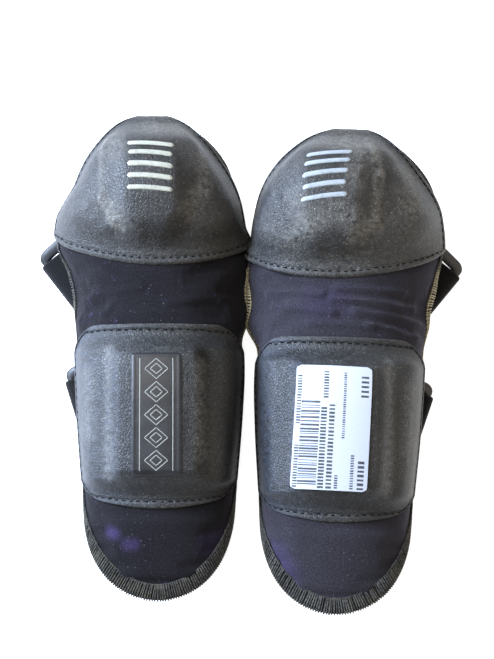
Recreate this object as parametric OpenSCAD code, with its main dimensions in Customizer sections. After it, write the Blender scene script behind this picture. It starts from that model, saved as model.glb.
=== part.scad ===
// A pair of junior knee and shin guards, lying on their straps with the fronts up.
// One guard is drawn in its own frame and placed twice, the second time as a mirror image:
//   x across the leg (the left guard's outer side is -x), y from the foot to the thigh, z up,
//   origin on the resting plane under the middle of the guard. All sizes are in millimetres.
// The soft sheets follow one arched surface, skin(phi, y): phi is the angle round the leg from
// the crown line, 90 at the widest point of the arch, and y runs along the leg.

/* [Pair] */
// Distance from the middle of the pair to each guard's centre line
guard_x = 43.8; // [43.8:0.2:80]
// Outward turn of the left guard's thigh end, in degrees
left_splay = 0; // [0:0.1:2]
// Outward turn of the right guard's thigh end, in degrees
right_splay = 1.7; // [0:0.1:3]
// How far the right guard lies back towards the foot
right_back = 6.5; // [0:0.5:20]
// How far the left guard's knee crown leans in towards the right guard
left_lean = 0; // [-2:0.5:4]
// How far the right guard's knee crown leans in towards the left guard
right_lean = 8.5; // [-2:0.5:9]
// How much wider the left guard's knee end is worn, as a share of its width
left_girth = -0.05; // [-0.06:0.01:0.06]
// How much wider the right guard's knee end is worn, as a share of its width
right_girth = 0.03; // [-0.06:0.01:0.06]
// How much higher the right guard's upper strap runs
right_strap_rise = 3; // [0:0.5:3]

/* [Arch] */
// Foot end of the padded panel
foot_end = -117.6; // [-121:0.1:-115]
// Thigh end of the padded panel
thigh_end = 116.6; // [116:0.1:118]
// Height at which the arch is widest
side_level = 22; // [20:0.5:24]
// Thickness of the neoprene panel
panel_t = 4; // [3:0.25:4.5]
// Exponent that fills out the arch: 1 is an ellipse, less is squarer
fullness = 0.89; // [0.8:0.01:1]

/* [Covers] */
// Thickness of the leatherette sheet
cover_t = 1; // [0.8:0.1:1.2]
// Height of a cover's padded field above its sewn edge
fill_h = 4; // [3.6:0.1:5]
// Extra height of the raised block on the knee
knee_block = 5; // [4:0.5:7]
// Extra height of the raised block on the shin
shin_block = 4.5; // [3:0.5:6]
// Highest point of the knee cover's lower seam, on the crown line
knee_seam_y = 41; // [40:0.1:43]
// Lower end of the shin cover
shin_low = -75.4; // [-76:0.1:-74]
// Upper end of the shin cover
shin_high = 13; // [12:0.1:14]

/* [Straps] */
// Width of the elastic straps
strap_w = 32; // [26:1:32]
// Thickness of the elastic straps
strap_t = 1.6; // [1.2:0.1:1.6]
// Radius of the loop's round bars
bar_r = 2; // [1.8:0.1:2]
// Distance between the loop's two long bars
loop_depth = 19; // [17:0.5:19]
// Distance between the loop's two short arms
loop_length = 38; // [36:0.5:40]
// Slope of the loop from the floor up to its tab, in degrees
loop_pitch = 25; // [22:1:28]
// Length of the strap's free tail
tail_length = 38; // [36:1:42]

/* [Hidden] */
SIDES = ["left", "right"];
GUARD_NODES = [
    "knee_panel", "flex_panel", "shin_panel", "knee_binding", "shin_binding",
    "knee_foam", "knee_cap", "knee_cover", "knee_seam", "knee_bars",
    "shin_foam", "shin_plate", "shin_cover", "shin_seam", "shin_badge",
    "upper_tab", "upper_loop", "upper_strap", "upper_bight", "upper_tail",
    "upper_hook_patch", "upper_pile_patch",
    "lower_tab", "lower_loop", "lower_strap", "lower_bight", "lower_tail",
    "lower_hook_patch", "lower_pile_patch"
];

black_leatherette = [0.17, 0.18, 0.20];
neoprene = [0.16, 0.15, 0.20];
thread = [0.10, 0.10, 0.11];
serging = [0.30, 0.29, 0.27];
bar_print = [0.82, 0.84, 0.80];
dark_plastic = [0.20, 0.20, 0.19];
foam = [0.35, 0.35, 0.36];
elastic = [0.09, 0.09, 0.10];

// The two halves of the panel stop short of the waist piece that bends between them.
waist_low = 18;
waist_high = 38;
joint_gap = 0.4;
// Free air left between two sheets that are sewn or laid together.
air = 0.3;
// Height of a cover's sewn border above the panel: the knee cover lies over the bound edge.
shin_stand = 0.4;
knee_stand = 1.8;
// The loop's outer bar is centred at this height, so that the strap round it rests on the floor.
bight_r = bar_r + 0.15;
bar_z = bight_r + strap_t;
// Where the loop's other bar, the one held by the tab, lies in the strap's own frame.
tab_bar = [loop_depth * cos(loop_pitch), 0, bar_z + loop_depth * sin(loop_pitch)];

// Each strap: the middle of the loop's outer bar, the strap's heading there, and its sewn end.
function upper(side) =
    let (rise = side == "right" ? right_strap_rise : 0) [[-48.4, 36.6 + rise], 38, [31, 64]];
LOWER = [[-40.4, -25], 17.5, [34.4, -12.5]];
seam_z = 8.2;

// ---------- curves ----------

function clamp(v, lo = 0, hi = 1) = min(max(v, lo), hi);
function smooth(t) = let (c = clamp(t)) c * c * (3 - 2 * c);
function segment(x, p, i = 0) = i >= len(p) - 2 || x < p[i + 1][0] ? i : segment(x, p, i + 1);
function tangent(p, i) =
    let (a = max(i - 1, 0), b = min(i + 1, len(p) - 1)) (p[b][1] - p[a][1]) / (p[b][0] - p[a][0]);

// A smooth curve through the points p, each [x, value], in order of x.
function curve(x, p) =
    let (
        i = segment(x, p),
        h = p[i + 1][0] - p[i][0],
        t = clamp((x - p[i][0]) / h)
    )
    p[i][1] * (1 + 2 * t) * (1 - t) * (1 - t) + p[i + 1][1] * t * t * (3 - 2 * t)
    + h * tangent(p, i) * t * (1 - t) * (1 - t) + h * tangent(p, i + 1) * t * t * (t - 1);

// ---------- the arched surface ----------

// Half width of the arch along the leg: [y, half width].
WIDTHS = [[-118, 36], [-80, 35.3], [-30, 39.0], [0, 40.2], [29, 38.8], [56, 44.4],
          [80, 41.6], [100, 35], [119, 26]];
// Height of the arch's crown line along the leg: [y, z].
CROWNS = [[-118, 36], [-72, 44], [-20, 49], [31, 47], [60, 51], [84, 53], [104, 45.5], [119, 34]];
// Angle of the panel's side edge between its two rounded ends: [y, phi].
foot_turn = -77;
knee_turn = 90;
EDGES = [[foot_turn, 90], [-64, 101], [-42, 107], [4, 108], [18, 99], [30, 90], [46, 90],
         [62, 93], [75, 102], [knee_turn, 90]];

// The knee end of the arch sits this far out from the shin's centre line.
sway = -3.5;
function knee_share(y) = smooth((y + 15) / 75);
// The lean dies out towards the thigh end.
function lean_share(y) = smooth((thigh_end + 8 - y) / 45);
function signed_power(v) = sign(v) * pow(abs(v), fullness);
function arch_x(phi, y) = curve(y, WIDTHS) * signed_power(sin(phi));
function arch_z(phi, y) = side_level + (curve(y, CROWNS) - side_level) * signed_power(cos(phi));
// $lean moves the crown sideways at the knee and leaves the sides where they are, and $girth
// spreads the knee end.
function skin_point(phi, y) =
    [arch_x(phi, y) * (1 + $girth * smooth((y - 25) / 60))
     + (sway + $lean * pow(clamp(cos(phi)), 1.3) * lean_share(y)) * knee_share(y), y, arch_z(phi, y)];
function skin_normal(phi, y) =
    let (
        across = skin_point(phi + 2, y) - skin_point(phi - 2, y),
        along = skin_point(phi, y + 0.5) - skin_point(phi, y - 0.5),
        n = cross(across, along)
    )
    n / norm(n);
// A point at a height above the panel's outer face; a negative height is inside the panel.
function skin(phi, y, height) = skin_point(phi, y) + height * skin_normal(phi, y);

// The angle at which the arch reaches a share of its half width, seen from above.
function phi_at(share) = asin(pow(clamp(share), 1 / fullness));
// The panel's side edge, which closes in a rounded tongue at both ends.
function tongue_share(t) = sqrt(1 - pow(clamp(t), 2));
function edge_phi(y) =
    y < foot_turn ? phi_at(tongue_share((foot_turn - y) / (foot_turn - foot_end)))
    : y > knee_turn ? phi_at(tongue_share((y - knee_turn) / (thigh_end - knee_turn)))
    : curve(y, EDGES);
// Places round the two tongues are spaced by angle.
TURNS = [14, 28, 42, 56, 70, 84];
foot_rows = [for (i = [5 : -1 : 0]) foot_turn - (foot_turn - foot_end) * sin(TURNS[i])];
knee_rows = [for (a = TURNS) knee_turn + (thigh_end - knee_turn) * sin(a)];

// ---------- sheets ----------

// A closed sheet over the arch: at(u, v) gives [phi, y] for u and v, which run over cols and
// rows, and low(u, v) and high(u, v) give the heights of its two faces above the panel.
module sheet(cols, rows, at, low, high) {
    nc = len(cols);
    nr = len(rows);
    layer = nc * nr;
    points = [
        for (face = [0, 1], v = rows, u = cols)
            let (p = at(u, v)) skin(p[0], p[1], face == 0 ? low(u, v) : high(u, v))
    ];
    top_and_bottom = [
        for (j = [0 : nr - 2], i = [0 : nc - 2])
            let (a = j * nc + i, b = a + 1, c = a + nc, d = c + 1)
            each [
                [a, b, d], [a, d, c],
                [layer + a, layer + d, layer + b], [layer + a, layer + c, layer + d]
            ]
    ];
    ends = [
        for (i = [0 : nc - 2])
            let (a = i, b = i + 1, c = (nr - 1) * nc + i, d = c + 1)
            each [
                [a, layer + b, b], [a, layer + a, layer + b],
                [c, d, layer + d], [c, layer + d, layer + c]
            ]
    ];
    sides = [
        for (j = [0 : nr - 2])
            let (a = j * nc, b = a + nc, c = a + nc - 1, d = c + nc)
            each [
                [a, b, layer + b], [a, layer + b, layer + a],
                [c, layer + d, d], [c, layer + c, layer + d]
            ]
    ];
    polyhedron(points, concat(top_and_bottom, ends, sides));
}

// The panel between two places along the leg.
module panel(rows) {
    columns = [for (i = [-8 : 8]) i / 8];
    sheet(columns, rows,
        function (u, v) [u * edge_phi(v), v],
        function (u, v) -panel_t,
        function (u, v) 0);
}

// ---------- covers and what they hold ----------

// Positions across a cover, as shares of its half width: the sewn border, the ramp up to the
// padded field, and the field itself. Each border step is listed once and mirrored.
FIELD = [-0.81, -0.70, -0.60, -0.51, -0.43, -0.35, -0.27, -0.14, 0,
         0.14, 0.27, 0.35, 0.43, 0.51, 0.60, 0.70, 0.81];
BORDER = [0.84, 0.89, 1];
COLS = concat([for (i = [2 : -1 : 0]) -BORDER[i]], FIELD, BORDER);

// The shin cover's rows and half width as an angle; its corners are rounded.
SHIN_FIELD = [-65.8, -63, -60, -57, -46, -34, -22, -10, -4.5, -2, 0.5, 3.4];
SHIN_ROWS = concat([shin_low, shin_low + 2.4, shin_low + 6, shin_low + 8.6], SHIN_FIELD,
                   [shin_high - 8.6, shin_high - 6, shin_high - 2.4, shin_high]);
corner_r = 12;
// The cover's lower edge sags by this much in the middle.
smile = 3.5;
function corner_cut(gap) =
    gap >= corner_r ? 0 : corner_r - sqrt(corner_r * corner_r - pow(corner_r - gap, 2));
function shin_half_phi(y) =
    let (cut = corner_cut(min(y - shin_low, shin_high - y)))
    phi_at(1 - cut / curve(y, WIDTHS)) * 0.94;
shin_at = function (u, v) [u * shin_half_phi(v), v + smile * u * u * smooth((-30 - v) / 40)];

// The knee cover's rows start on its curved lower seam and fan out to level ones.
KNEE_FIELD = [0.135, 0.19, 0.24, 0.30, 0.38, 0.47, 0.56, 0.65, 0.73, 0.80, 0.86];
KNEE_ROWS = concat([0, 0.082, 0.12], KNEE_FIELD, [0.875, 0.925, 0.965, 0.994]);
cover_top = thigh_end - 0.6;
cover_half = 44.6;
cover_turn = 58;
// The knee cover and its bars are turned by this angle, outer side towards the thigh.
cover_yaw = 3.5;
function knee_seam_line(u) = knee_seam_y + 15.6 * pow(abs(u), 1.7) - 44 * u * tan(cover_yaw);
function knee_half_phi(v) =
    let (
        y = knee_seam_line(1) + (cover_top - knee_seam_line(1)) * v,
        half = cover_half * tongue_share((y - cover_turn) / (cover_top - cover_turn))
    )
    min(84, phi_at(half / curve(y, WIDTHS)));
knee_at = function (u, v)
    [u * knee_half_phi(v), knee_seam_line(u) + (cover_top - knee_seam_line(u)) * v];

// Share of the raised block's height at a place: 1 on the block, 0 off it.
knee_block_low = 49;
knee_block_foot = 16.5;
knee_block_spread = 6;
knee_raise = function (p)
    let (
        x = abs(arch_x(p[0], p[1])),
        half = knee_block_foot + knee_block_spread * smooth((p[1] - knee_block_low - 3) / 18)
    )
    knee_block * smooth((half - x) / 9) * smooth((p[1] - knee_block_low) / 14)
    * smooth((cover_top - p[1]) / 30);
shin_block_half = 23;
shin_block_low = -63.5;
shin_block_high = 2;
block_ramp = 6;
shin_raise = function (p)
    shin_block * smooth((shin_block_half - abs(arch_x(p[0], p[1]))) / block_ramp)
    * smooth((p[1] - shin_block_low) / block_ramp) * smooth((shin_block_high - p[1]) / block_ramp);

// The cover's underside: down on the panel at its sewn border, up over the padding inside it.
function side_rise(u) = smooth((0.9 - abs(u)) / 0.4);
shin_border = 5;
shin_ramp = 9;
shin_rise = function (u, v)
    side_rise(u) * smooth((v - shin_low - shin_border) / shin_ramp)
    * smooth((shin_high - shin_border - v) / shin_ramp);
knee_rise = function (u, v)
    side_rise(u) * smooth((v - 0.07) / 0.2) * smooth((0.925 - v) / 0.2);

module cover(rows, at, rise, raise, stand) {
    under = function (u, v) stand + fill_h * rise(u, v) + raise(at(u, v));
    sheet(COLS, rows, at, under, function (u, v) under(u, v) + cover_t);
}

// The foam lies on the panel; a thin stiff shell lies between it and the cover.
PAD_COLS = [for (u = FIELD) if (abs(u) < 0.65) u];
KNEE_PAD = [for (v = KNEE_FIELD) if (v > 0.2 && v < 0.82) v];
SHIN_PAD = [for (v = SHIN_FIELD) if (v > -64 && v < 1) v];
foam_low = 0.9;
foam_share = 0.35;
function foam_high(rise) = foam_low + fill_h * foam_share * rise;
module foam_block(rows, at, rise, raise) {
    color(foam) sheet(PAD_COLS, rows, at,
        function (u, v) foam_low,
        function (u, v) foam_high(rise(u, v)) + raise(at(u, v)));
}
module stiff_shell(rows, at, rise, raise) {
    color(dark_plastic) sheet(PAD_COLS, rows, at,
        function (u, v) foam_high(rise(u, v)) + air + raise(at(u, v)),
        function (u, v) shin_stand + fill_h * rise(u, v) - air + raise(at(u, v)));
}
module knee_foam() foam_block(KNEE_PAD, knee_at, knee_rise, knee_raise);
module knee_cap() stiff_shell(KNEE_PAD, knee_at, knee_rise, knee_raise);
module knee_cover()
    color(black_leatherette) cover(KNEE_ROWS, knee_at, knee_rise, knee_raise, knee_stand);
module shin_foam() foam_block(SHIN_PAD, shin_at, shin_rise, shin_raise);
module shin_plate() stiff_shell(SHIN_PAD, shin_at, shin_rise, shin_raise);
module shin_cover()
    color(black_leatherette) cover(SHIN_ROWS, shin_at, shin_rise, shin_raise, shin_stand);

// ---------- cords: stitch lines and bound edges ----------

// A cord of elliptical section along places on the arch, each [phi, y, height]. half gives its
// half width along the surface and half height above it. A closed cord joins up with itself.
module cord(places, half, closed) {
    n = len(places);
    sides = 5;
    points = [
        for (i = [0 : n - 1])
            let (
                p = places[i],
                before = places[closed ? (i + n - 1) % n : max(i - 1, 0)],
                after = places[closed ? (i + 1) % n : min(i + 1, n - 1)],
                centre = skin(p[0], p[1], p[2]),
                run = skin(after[0], after[1], after[2]) - skin(before[0], before[1], before[2]),
                out = skin_normal(p[0], p[1]),
                across = cross(out, run / norm(run))
            )
            for (k = [0 : sides - 1])
                centre + across * half[0] * cos(360 * k / sides) + out * half[1] * sin(360 * k / sides)
    ];
    last = closed ? n - 1 : n - 2;
    walls = [
        for (i = [0 : last], k = [0 : sides - 1])
            let (
                j = (i + 1) % n,
                m = (k + 1) % sides,
                a = i * sides + k, b = i * sides + m, c = j * sides + k, d = j * sides + m
            )
            each [[a, d, b], [a, c, d]]
    ];
    caps = closed ? [] : [
        for (k = [1 : sides - 2])
            each [[0, k, k + 1], [(n - 1) * sides, (n - 1) * sides + k + 1, (n - 1) * sides + k]]
    ];
    polyhedron(points, concat(walls, caps));
}

function steps(a, b, n) = [for (i = [0 : n]) a + (b - a) * i / n];
function reversed(list) = [for (i = [len(list) - 1 : -1 : 0]) list[i]];

// The seam runs along the cover's flat border: up one side and down the other.
seam_u = 0.925;
seam_lift = 0.45;
module cover_seam(rows, at, raise, stand) {
    lift = stand + cover_t + seam_lift;
    right = [for (v = rows) [seam_u, v]];
    left = [for (v = reversed(rows)) [-seam_u, v]];
    foot = [for (u = steps(-0.84, 0.84, 16)) [u, rows[0]]];
    head = [for (u = steps(0.84, -0.84, 16)) [u, rows[len(rows) - 1]]];
    places = [for (q = concat(foot, right, head, left)) let (p = at(q[0], q[1]))
        [p[0], p[1], lift + raise(p)]];
    color(thread) cord(places, [0.4, 0.2], true);
}
module shin_seam() cover_seam(steps(shin_low + 4.2, shin_high - 4.2, 22), shin_at, shin_raise, shin_stand);
module knee_seam() cover_seam(steps(0.042, 0.95, 24), knee_at, knee_raise, knee_stand);

// The bound edge is a folded band over the panel's rim. Its section is given as steps in from the
// rim and heights above the panel's face, first round the outside and then back round the inside.
band_w = 6.5;
band_t = 0.5;
// Clear air between the band and the panel's faces, and beyond its rim.
face_gap = 0.6;
rim_gap = 1.4;
// The band's inner edge stands this much higher, clear of the panel's curve.
band_lift = 0.4;
BAND = [
    [band_w, face_gap + band_t + band_lift], [-rim_gap - band_t, face_gap + band_t],
    [-rim_gap - band_t, -panel_t - face_gap - band_t],
    [band_w, -panel_t - face_gap - band_t - band_lift],
    [band_w, -panel_t - face_gap - band_lift], [-rim_gap, -panel_t - face_gap],
    [-rim_gap, face_gap], [band_w, face_gap + band_lift]
];
// A place moved in from the rim by d, given the two neighbouring places along the rim.
function moved_in(before, p, after, d) =
    let (
        arc = curve(p[1], WIDTHS) * PI / 180,
        run = [(after[0] - before[0]) * arc, after[1] - before[1]],
        n = [run[1], -run[0]] / norm(run)
    )
    [p[0] + d * n[0] / arc, p[1] + d * n[1]];
// The rim is given as places from one side round the end to the other.
module bound_edge(rim) {
    n = len(rim);
    m = len(BAND);
    points = [
        for (i = [0 : n - 1], q = BAND)
            let (p = moved_in(rim[max(i - 1, 0)], rim[i], rim[min(i + 1, n - 1)], q[0]))
            skin(p[0], p[1], q[1])
    ];
    walls = [
        for (i = [0 : n - 2], k = [0 : m - 1])
            let (a = i * m + k, b = i * m + (k + 1) % m, c = a + m, d = b + m)
            each [[a, b, d], [a, d, c]]
    ];
    quads = [[0, 7, 6, 1], [1, 6, 5, 2], [2, 5, 4, 3]];
    e = (n - 1) * m;
    caps = [for (q = quads) each [[q[0], q[1], q[2]], [q[0], q[2], q[3]]]];
    far = [for (q = quads) each [[e + q[0], e + q[2], e + q[1]], [e + q[0], e + q[3], e + q[2]]]];
    color(serging) polyhedron(points, concat(walls, caps, far));
}
// The rim from one side's first row, round the tip, and back down the other side.
function whole_rim(side_rows, tip_rows, tip, hand) =
    let (
        half = concat([for (y = side_rows) [hand * edge_phi(y), y]],
                      [for (y = tip_rows) [hand * edge_phi(y), y]])
    )
    concat(half, [[0, tip]], [for (p = reversed(half)) [-p[0], p[1]]]);
SHIN_SIDE = [waist_low, 12, 6, -2, -14, -30, -46, -60, -70, foot_turn];
KNEE_SIDE = [waist_high, 44, 51, 59, 67, 75, 83, knee_turn];
module shin_binding() bound_edge(whole_rim(SHIN_SIDE, reversed(foot_rows), foot_end, 1));
module knee_binding() bound_edge(whole_rim(KNEE_SIDE, knee_rows, thigh_end, -1));

module knee_panel() color(neoprene) panel(concat(KNEE_SIDE, knee_rows));
module flex_panel() color(neoprene) panel(steps(waist_low + joint_gap, waist_high - joint_gap, 6));
module shin_panel() color(neoprene) panel(concat(foot_rows, reversed(SHIN_SIDE)));

// ---------- prints and labels ----------

// Five raised bars across the top of the knee's raised block.
bar_half = 9.7;
bar_half_h = 1;
bar_t = 0.35;
bar_rows = [75.4, 80, 84.4, 89, 93.2];
module knee_bars() {
    lift = knee_stand + fill_h + cover_t + air / 2;
    color(bar_print)
        for (y = bar_rows)
            sheet(steps(-1, 1, 4), steps(-1, 1, 1),
                function (u, v) bar_place(u, v, y),
                function (u, v) lift + knee_raise(bar_place(u, v, y)),
                function (u, v) lift + bar_t + knee_raise(bar_place(u, v, y)));
}
function bar_place(u, v, y) =
    let (x = u * bar_half, row = y + v * bar_half_h - x * tan(cover_yaw))
    [phi_at(abs(x) / curve(row, WIDTHS)) * sign(x), row];

// A flat badge with rounded corners, and on the right guard a paper price label over it.
module placard(width, length, centre, lift, thickness, turn) {
    place = function (u, v)
        let (
            x = centre[0] + u * width / 2 * cos(turn) - v * length / 2 * sin(turn),
            y = centre[1] + v * length / 2 * cos(turn) + u * width / 2 * sin(turn)
        )
        [phi_at(abs(x) / curve(y, WIDTHS)) * sign(x), y];
    base = shin_stand + fill_h + cover_t + shin_block + lift;
    sheet(steps(-1, 1, 6), steps(-1, 1, 4), place,
        function (u, v) base, function (u, v) base + thickness);
}
badge = [0, -31.5];
module shin_badge() color(dark_plastic) placard(20.8, 56.5, badge, 0.25, 0.4, 0);
module price_label() color("white") placard(31, 56.5, badge + [3.6, 0], 0.95, 0.3, 1.4);

// ---------- straps ----------

// In the strap's frame x runs inwards under the guard from the loop's outer bar, z is up.
module strap_frame(s) translate([s[0][0], s[0][1], 0]) rotate([0, 0, s[1]]) children();

// A strip of the strap's width along a side-view line of points [x, z], given at mid thickness.
module strip(line, width, thickness) {
    upper_face = [for (p = line) [p[0], p[1] + thickness / 2]];
    lower_face = [for (p = reversed(line)) [p[0], p[1] - thickness / 2]];
    rotate([90, 0, 0])
        linear_extrude(width, center = true)
            polygon(concat(upper_face, lower_face));
}

// The moulded loop: two long bars and two short arms, all round, with bent corners.
bend_r = 3;
module strap_loop(s) {
    straight = loop_length - 2 * bend_r;
    color(dark_plastic)
        strap_frame(s) translate([0, 0, bar_z]) rotate([0, -loop_pitch, 0]) {
            for (x = [0, loop_depth])
                translate([x, 0, 0]) rotate([90, 0, 0])
                    cylinder(h = straight, r = bar_r, center = true, $fn = 48);
            for (y = [-1, 1] * loop_length / 2)
                translate([bend_r, y, 0]) rotate([0, 90, 0])
                    cylinder(h = loop_depth - 2 * bend_r, r = bar_r, $fn = 48);
            for (corner = [[0, 0, 180], [1, 0, 270], [1, 1, 0], [0, 1, 90]])
                translate([bend_r + corner[0] * (loop_depth - 2 * bend_r),
                           (corner[1] - 0.5) * straight, 0])
                    rotate([0, 0, corner[2]])
                        rotate_extrude(angle = 90, $fn = 96)
                            translate([bend_r, 0]) circle(bar_r, $fn = 48);
        }
}

// The strap's turn round the loop's outer bar.
module strap_bight(s) {
    color(elastic)
        strap_frame(s) translate([0, 0, bar_z]) rotate([90, 0, 0])
            linear_extrude(strap_w, center = true)
                difference() {
                    circle(bight_r + strap_t, $fn = 64);
                    circle(bight_r, $fn = 64);
                    translate([0.1, -10]) square([20, 20]);
                }
}

// The heights of the folded strap, from the floor up: tail, hook patch, pile patch, strap.
patch_t = 0.8;
patch_gap = 0.05;
hook_z = strap_t + patch_gap;
pile_z = hook_z + patch_t + patch_gap;
folded_z = pile_z + patch_t + patch_gap + strap_t / 2;
patch_length = 24;
patch_start = 12;

module strap_tail(s)
    color(elastic)
        strap_frame(s)
            translate([0.3, -strap_w / 2, 0]) cube([tail_length, strap_w, strap_t]);
module patch(s, z)
    color(thread)
        strap_frame(s)
            translate([patch_start, -strap_w / 2 + 1, z]) cube([patch_length, strap_w - 2, patch_t]);

// A point and heading on the strap's plan curve, from under the loop to the sewn end.
strap_start = tail_length + 6;
function heading(a) = [cos(a), sin(a)];
function plan_ends(s) =
    let (
        a = s[0] + strap_start * heading(s[1]),
        d = s[2] - [rise_run, 0],
        reach = norm(d - a) / 3
    )
    [a, a + reach * heading(s[1]), d - [reach, 0], d];
function bezier(p, t) =
    pow(1 - t, 3) * p[0] + 3 * t * pow(1 - t, 2) * p[1] + 3 * t * t * (1 - t) * p[2] + pow(t, 3) * p[3];
function bezier_run(p, t) =
    let (r = bezier(p, t + 0.01) - bezier(p, t - 0.01)) r / norm(r);
function plan_side(s, half) =
    let (p = plan_ends(s))
    [for (t = steps(0, 1, 8)) let (r = bezier_run(p, t)) bezier(p, t) + half * [-r[1], r[0]]];

// The strap: folded over its tail near the loop, flat on the floor, then up to its sewn end.
rise_run = 12;
hem_r = 1.2;
module strap(s) {
    z = strap_t / 2;
    sewn = s[2];
    folded = [
        [2 * bight_r, bar_z + bight_r + z], [patch_start + 2, folded_z], [tail_length + 1, folded_z],
        [strap_start - 1, z + 0.4], [strap_start, z], [strap_start + 0.5, z]
    ];
    rising = [
        [-rise_run - 0.5, z], [-rise_run, z], [-7, z + 1.2], [-2.6, z + 4.4], [-0.9, seam_z]
    ];
    color(elastic) {
        strap_frame(s) strip(folded, strap_w, strap_t);
        linear_extrude(strap_t)
            polygon(concat(plan_side(s, strap_w / 2), reversed(plan_side(s, -strap_w / 2))));
        translate([sewn[0], sewn[1], 0]) strip(rising, strap_w, strap_t);
        // The hem at the sewn end.
        translate([sewn[0], sewn[1], seam_z]) rotate([90, 0, 0])
            cylinder(h = strap_w, r = hem_r, center = true, $fn = 32);
    }
}

// The tab: a webbing loop round the moulded loop's inner bar, and its tongue up to the panel.
tab_w = 25;
tab_t = 2.4;
// The tongue starts this far above the moulded loop's bar, inside the webbing round it.
tab_rise = bight_r + 0.7;
module strap_tab(s, end) {
    turn = heading(s[1] - 90);
    middle = s[0] + tab_bar[0] * heading(s[1]);
    start = [middle[0], middle[1], tab_bar[2] + tab_rise];
    run = [end[0] - start[0], end[1] - start[1]];
    out = run / norm(run);
    stations = [
        for (t = steps(0, 1, 4))
            let (
                w = (1 - t) * [turn[0], turn[1], 0] + t * [0, -1, 0]
            )
            [start + t * (end - start), w / norm(w), tab_t / 2 * (1 - 0.2 * t)]
    ];
    points = [
        for (q = stations, c = [[-1, -1], [1, -1], [1, 1], [-1, 1]])
            q[0] + q[1] * c[0] * tab_w / 2 + [out[0], out[1], 0] * -0.2 * c[1]
            + cross(q[1], (end - start) / norm(end - start)) * c[1] * q[2]
    ];
    n = len(stations);
    walls = [
        for (i = [0 : n - 2], k = [0 : 3])
            let (a = i * 4 + k, b = i * 4 + (k + 1) % 4, c = a + 4, d = b + 4)
            each [[a, b, d], [a, d, c]]
    ];
    caps = [[0, 2, 1], [0, 3, 2], [n * 4 - 4, n * 4 - 3, n * 4 - 2], [n * 4 - 4, n * 4 - 2, n * 4 - 1]];
    color(elastic) {
        strap_frame(s) translate(tab_bar) rotate([90, 0, 0])
            difference() {
                cylinder(h = tab_w, r = bight_r + strap_t, center = true, $fn = 64);
                cylinder(h = tab_w + 1, r = bight_r, center = true, $fn = 64);
            }
        polyhedron(points, concat(walls, caps));
    }
}
function upper_tab_end(side) = [-35.4, 50 + (side == "right" ? right_strap_rise : 0), 28];
LOWER_TAB_END = [-33, -21, 24];

// ---------- placing ----------

// Brings the middle of the pair's outer box over the origin.
pair_shift = [-0.73, 3.38, 0];

module guard(side) {
    $lean = side == "left" ? left_lean : right_lean;
    $girth = side == "left" ? left_girth : right_girth;
    translate(pair_shift)
        if (side == "left") translate([-guard_x, 0, 0]) rotate([0, 0, left_splay]) children();
        else translate([guard_x, -right_back, 0]) mirror([1, 0, 0]) rotate([0, 0, right_splay]) children();
}

for (side = SIDES) {
    guard(side) knee_panel();
    guard(side) flex_panel();
    guard(side) shin_panel();
    guard(side) knee_binding();
    guard(side) shin_binding();
    guard(side) knee_foam();
    guard(side) knee_cap();
    guard(side) knee_cover();
    guard(side) knee_seam();
    guard(side) knee_bars();
    guard(side) shin_foam();
    guard(side) shin_plate();
    guard(side) shin_cover();
    guard(side) shin_seam();
    guard(side) shin_badge();
    guard(side) strap_tab(upper(side), upper_tab_end(side));
    guard(side) strap_loop(upper(side));
    guard(side) strap(upper(side));
    guard(side) strap_bight(upper(side));
    guard(side) strap_tail(upper(side));
    guard(side) patch(upper(side), hook_z);
    guard(side) patch(upper(side), pile_z);
    guard(side) strap_tab(LOWER, LOWER_TAB_END);
    guard(side) strap_loop(LOWER);
    guard(side) strap(LOWER);
    guard(side) strap_bight(LOWER);
    guard(side) strap_tail(LOWER);
    guard(side) patch(LOWER, hook_z);
    guard(side) patch(LOWER, pile_z);
}
guard("right") price_label();
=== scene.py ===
"""The looks of a pair of junior knee and shin guards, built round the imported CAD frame.

Each guard is built in its own frame in millimetres (x across the leg, y from foot to thigh, z up)
on the same arched surface as the CAD part, then placed. The right guard is the mirror image.
"""

import math

import bpy
import numpy as np
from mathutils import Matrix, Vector


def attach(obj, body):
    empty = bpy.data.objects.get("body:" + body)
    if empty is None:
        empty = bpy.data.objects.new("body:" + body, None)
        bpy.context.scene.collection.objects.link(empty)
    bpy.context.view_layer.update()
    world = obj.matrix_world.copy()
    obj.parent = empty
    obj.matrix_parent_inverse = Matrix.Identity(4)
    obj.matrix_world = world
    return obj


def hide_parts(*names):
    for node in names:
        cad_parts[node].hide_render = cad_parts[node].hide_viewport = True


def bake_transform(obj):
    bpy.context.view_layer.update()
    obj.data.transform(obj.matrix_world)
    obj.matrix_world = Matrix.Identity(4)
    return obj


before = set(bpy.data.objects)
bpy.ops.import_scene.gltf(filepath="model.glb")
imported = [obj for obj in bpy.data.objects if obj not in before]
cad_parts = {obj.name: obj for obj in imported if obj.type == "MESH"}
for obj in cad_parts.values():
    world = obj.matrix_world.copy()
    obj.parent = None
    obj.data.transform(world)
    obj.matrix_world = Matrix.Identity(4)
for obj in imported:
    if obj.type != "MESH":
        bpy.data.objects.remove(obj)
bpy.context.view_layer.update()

# ---------------------------------------------------------------- the arched surface

# Each guard's middle out from the middle of the pair, how far back the right one lies, and the
# move that brings the middle of the pair's box over the origin.
GUARD_X, RIGHT_BACK, PAIR_SHIFT = 43.8, 6.5, (-0.73, 3.38)
# How each guard is turned, leans over at the thigh, is fuller there and flares at the waist.
SPLAY = {"left": 0.0, "right": math.radians(1.7)}
LEAN = {"left": 0.0, "right": 8.5}
GIRTH = {"left": -0.05, "right": 0.03}
INNER_FLARE, OUTER_FLARE = {"left": 5.0, "right": 6.0}, {"left": 0.9, "right": 2.4}
# The height at which the arch is widest, how square it is, and its sway at the thigh.
SIDE_LEVEL, FULLNESS, SWAY = 22.0, 0.89, -3.5
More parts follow.
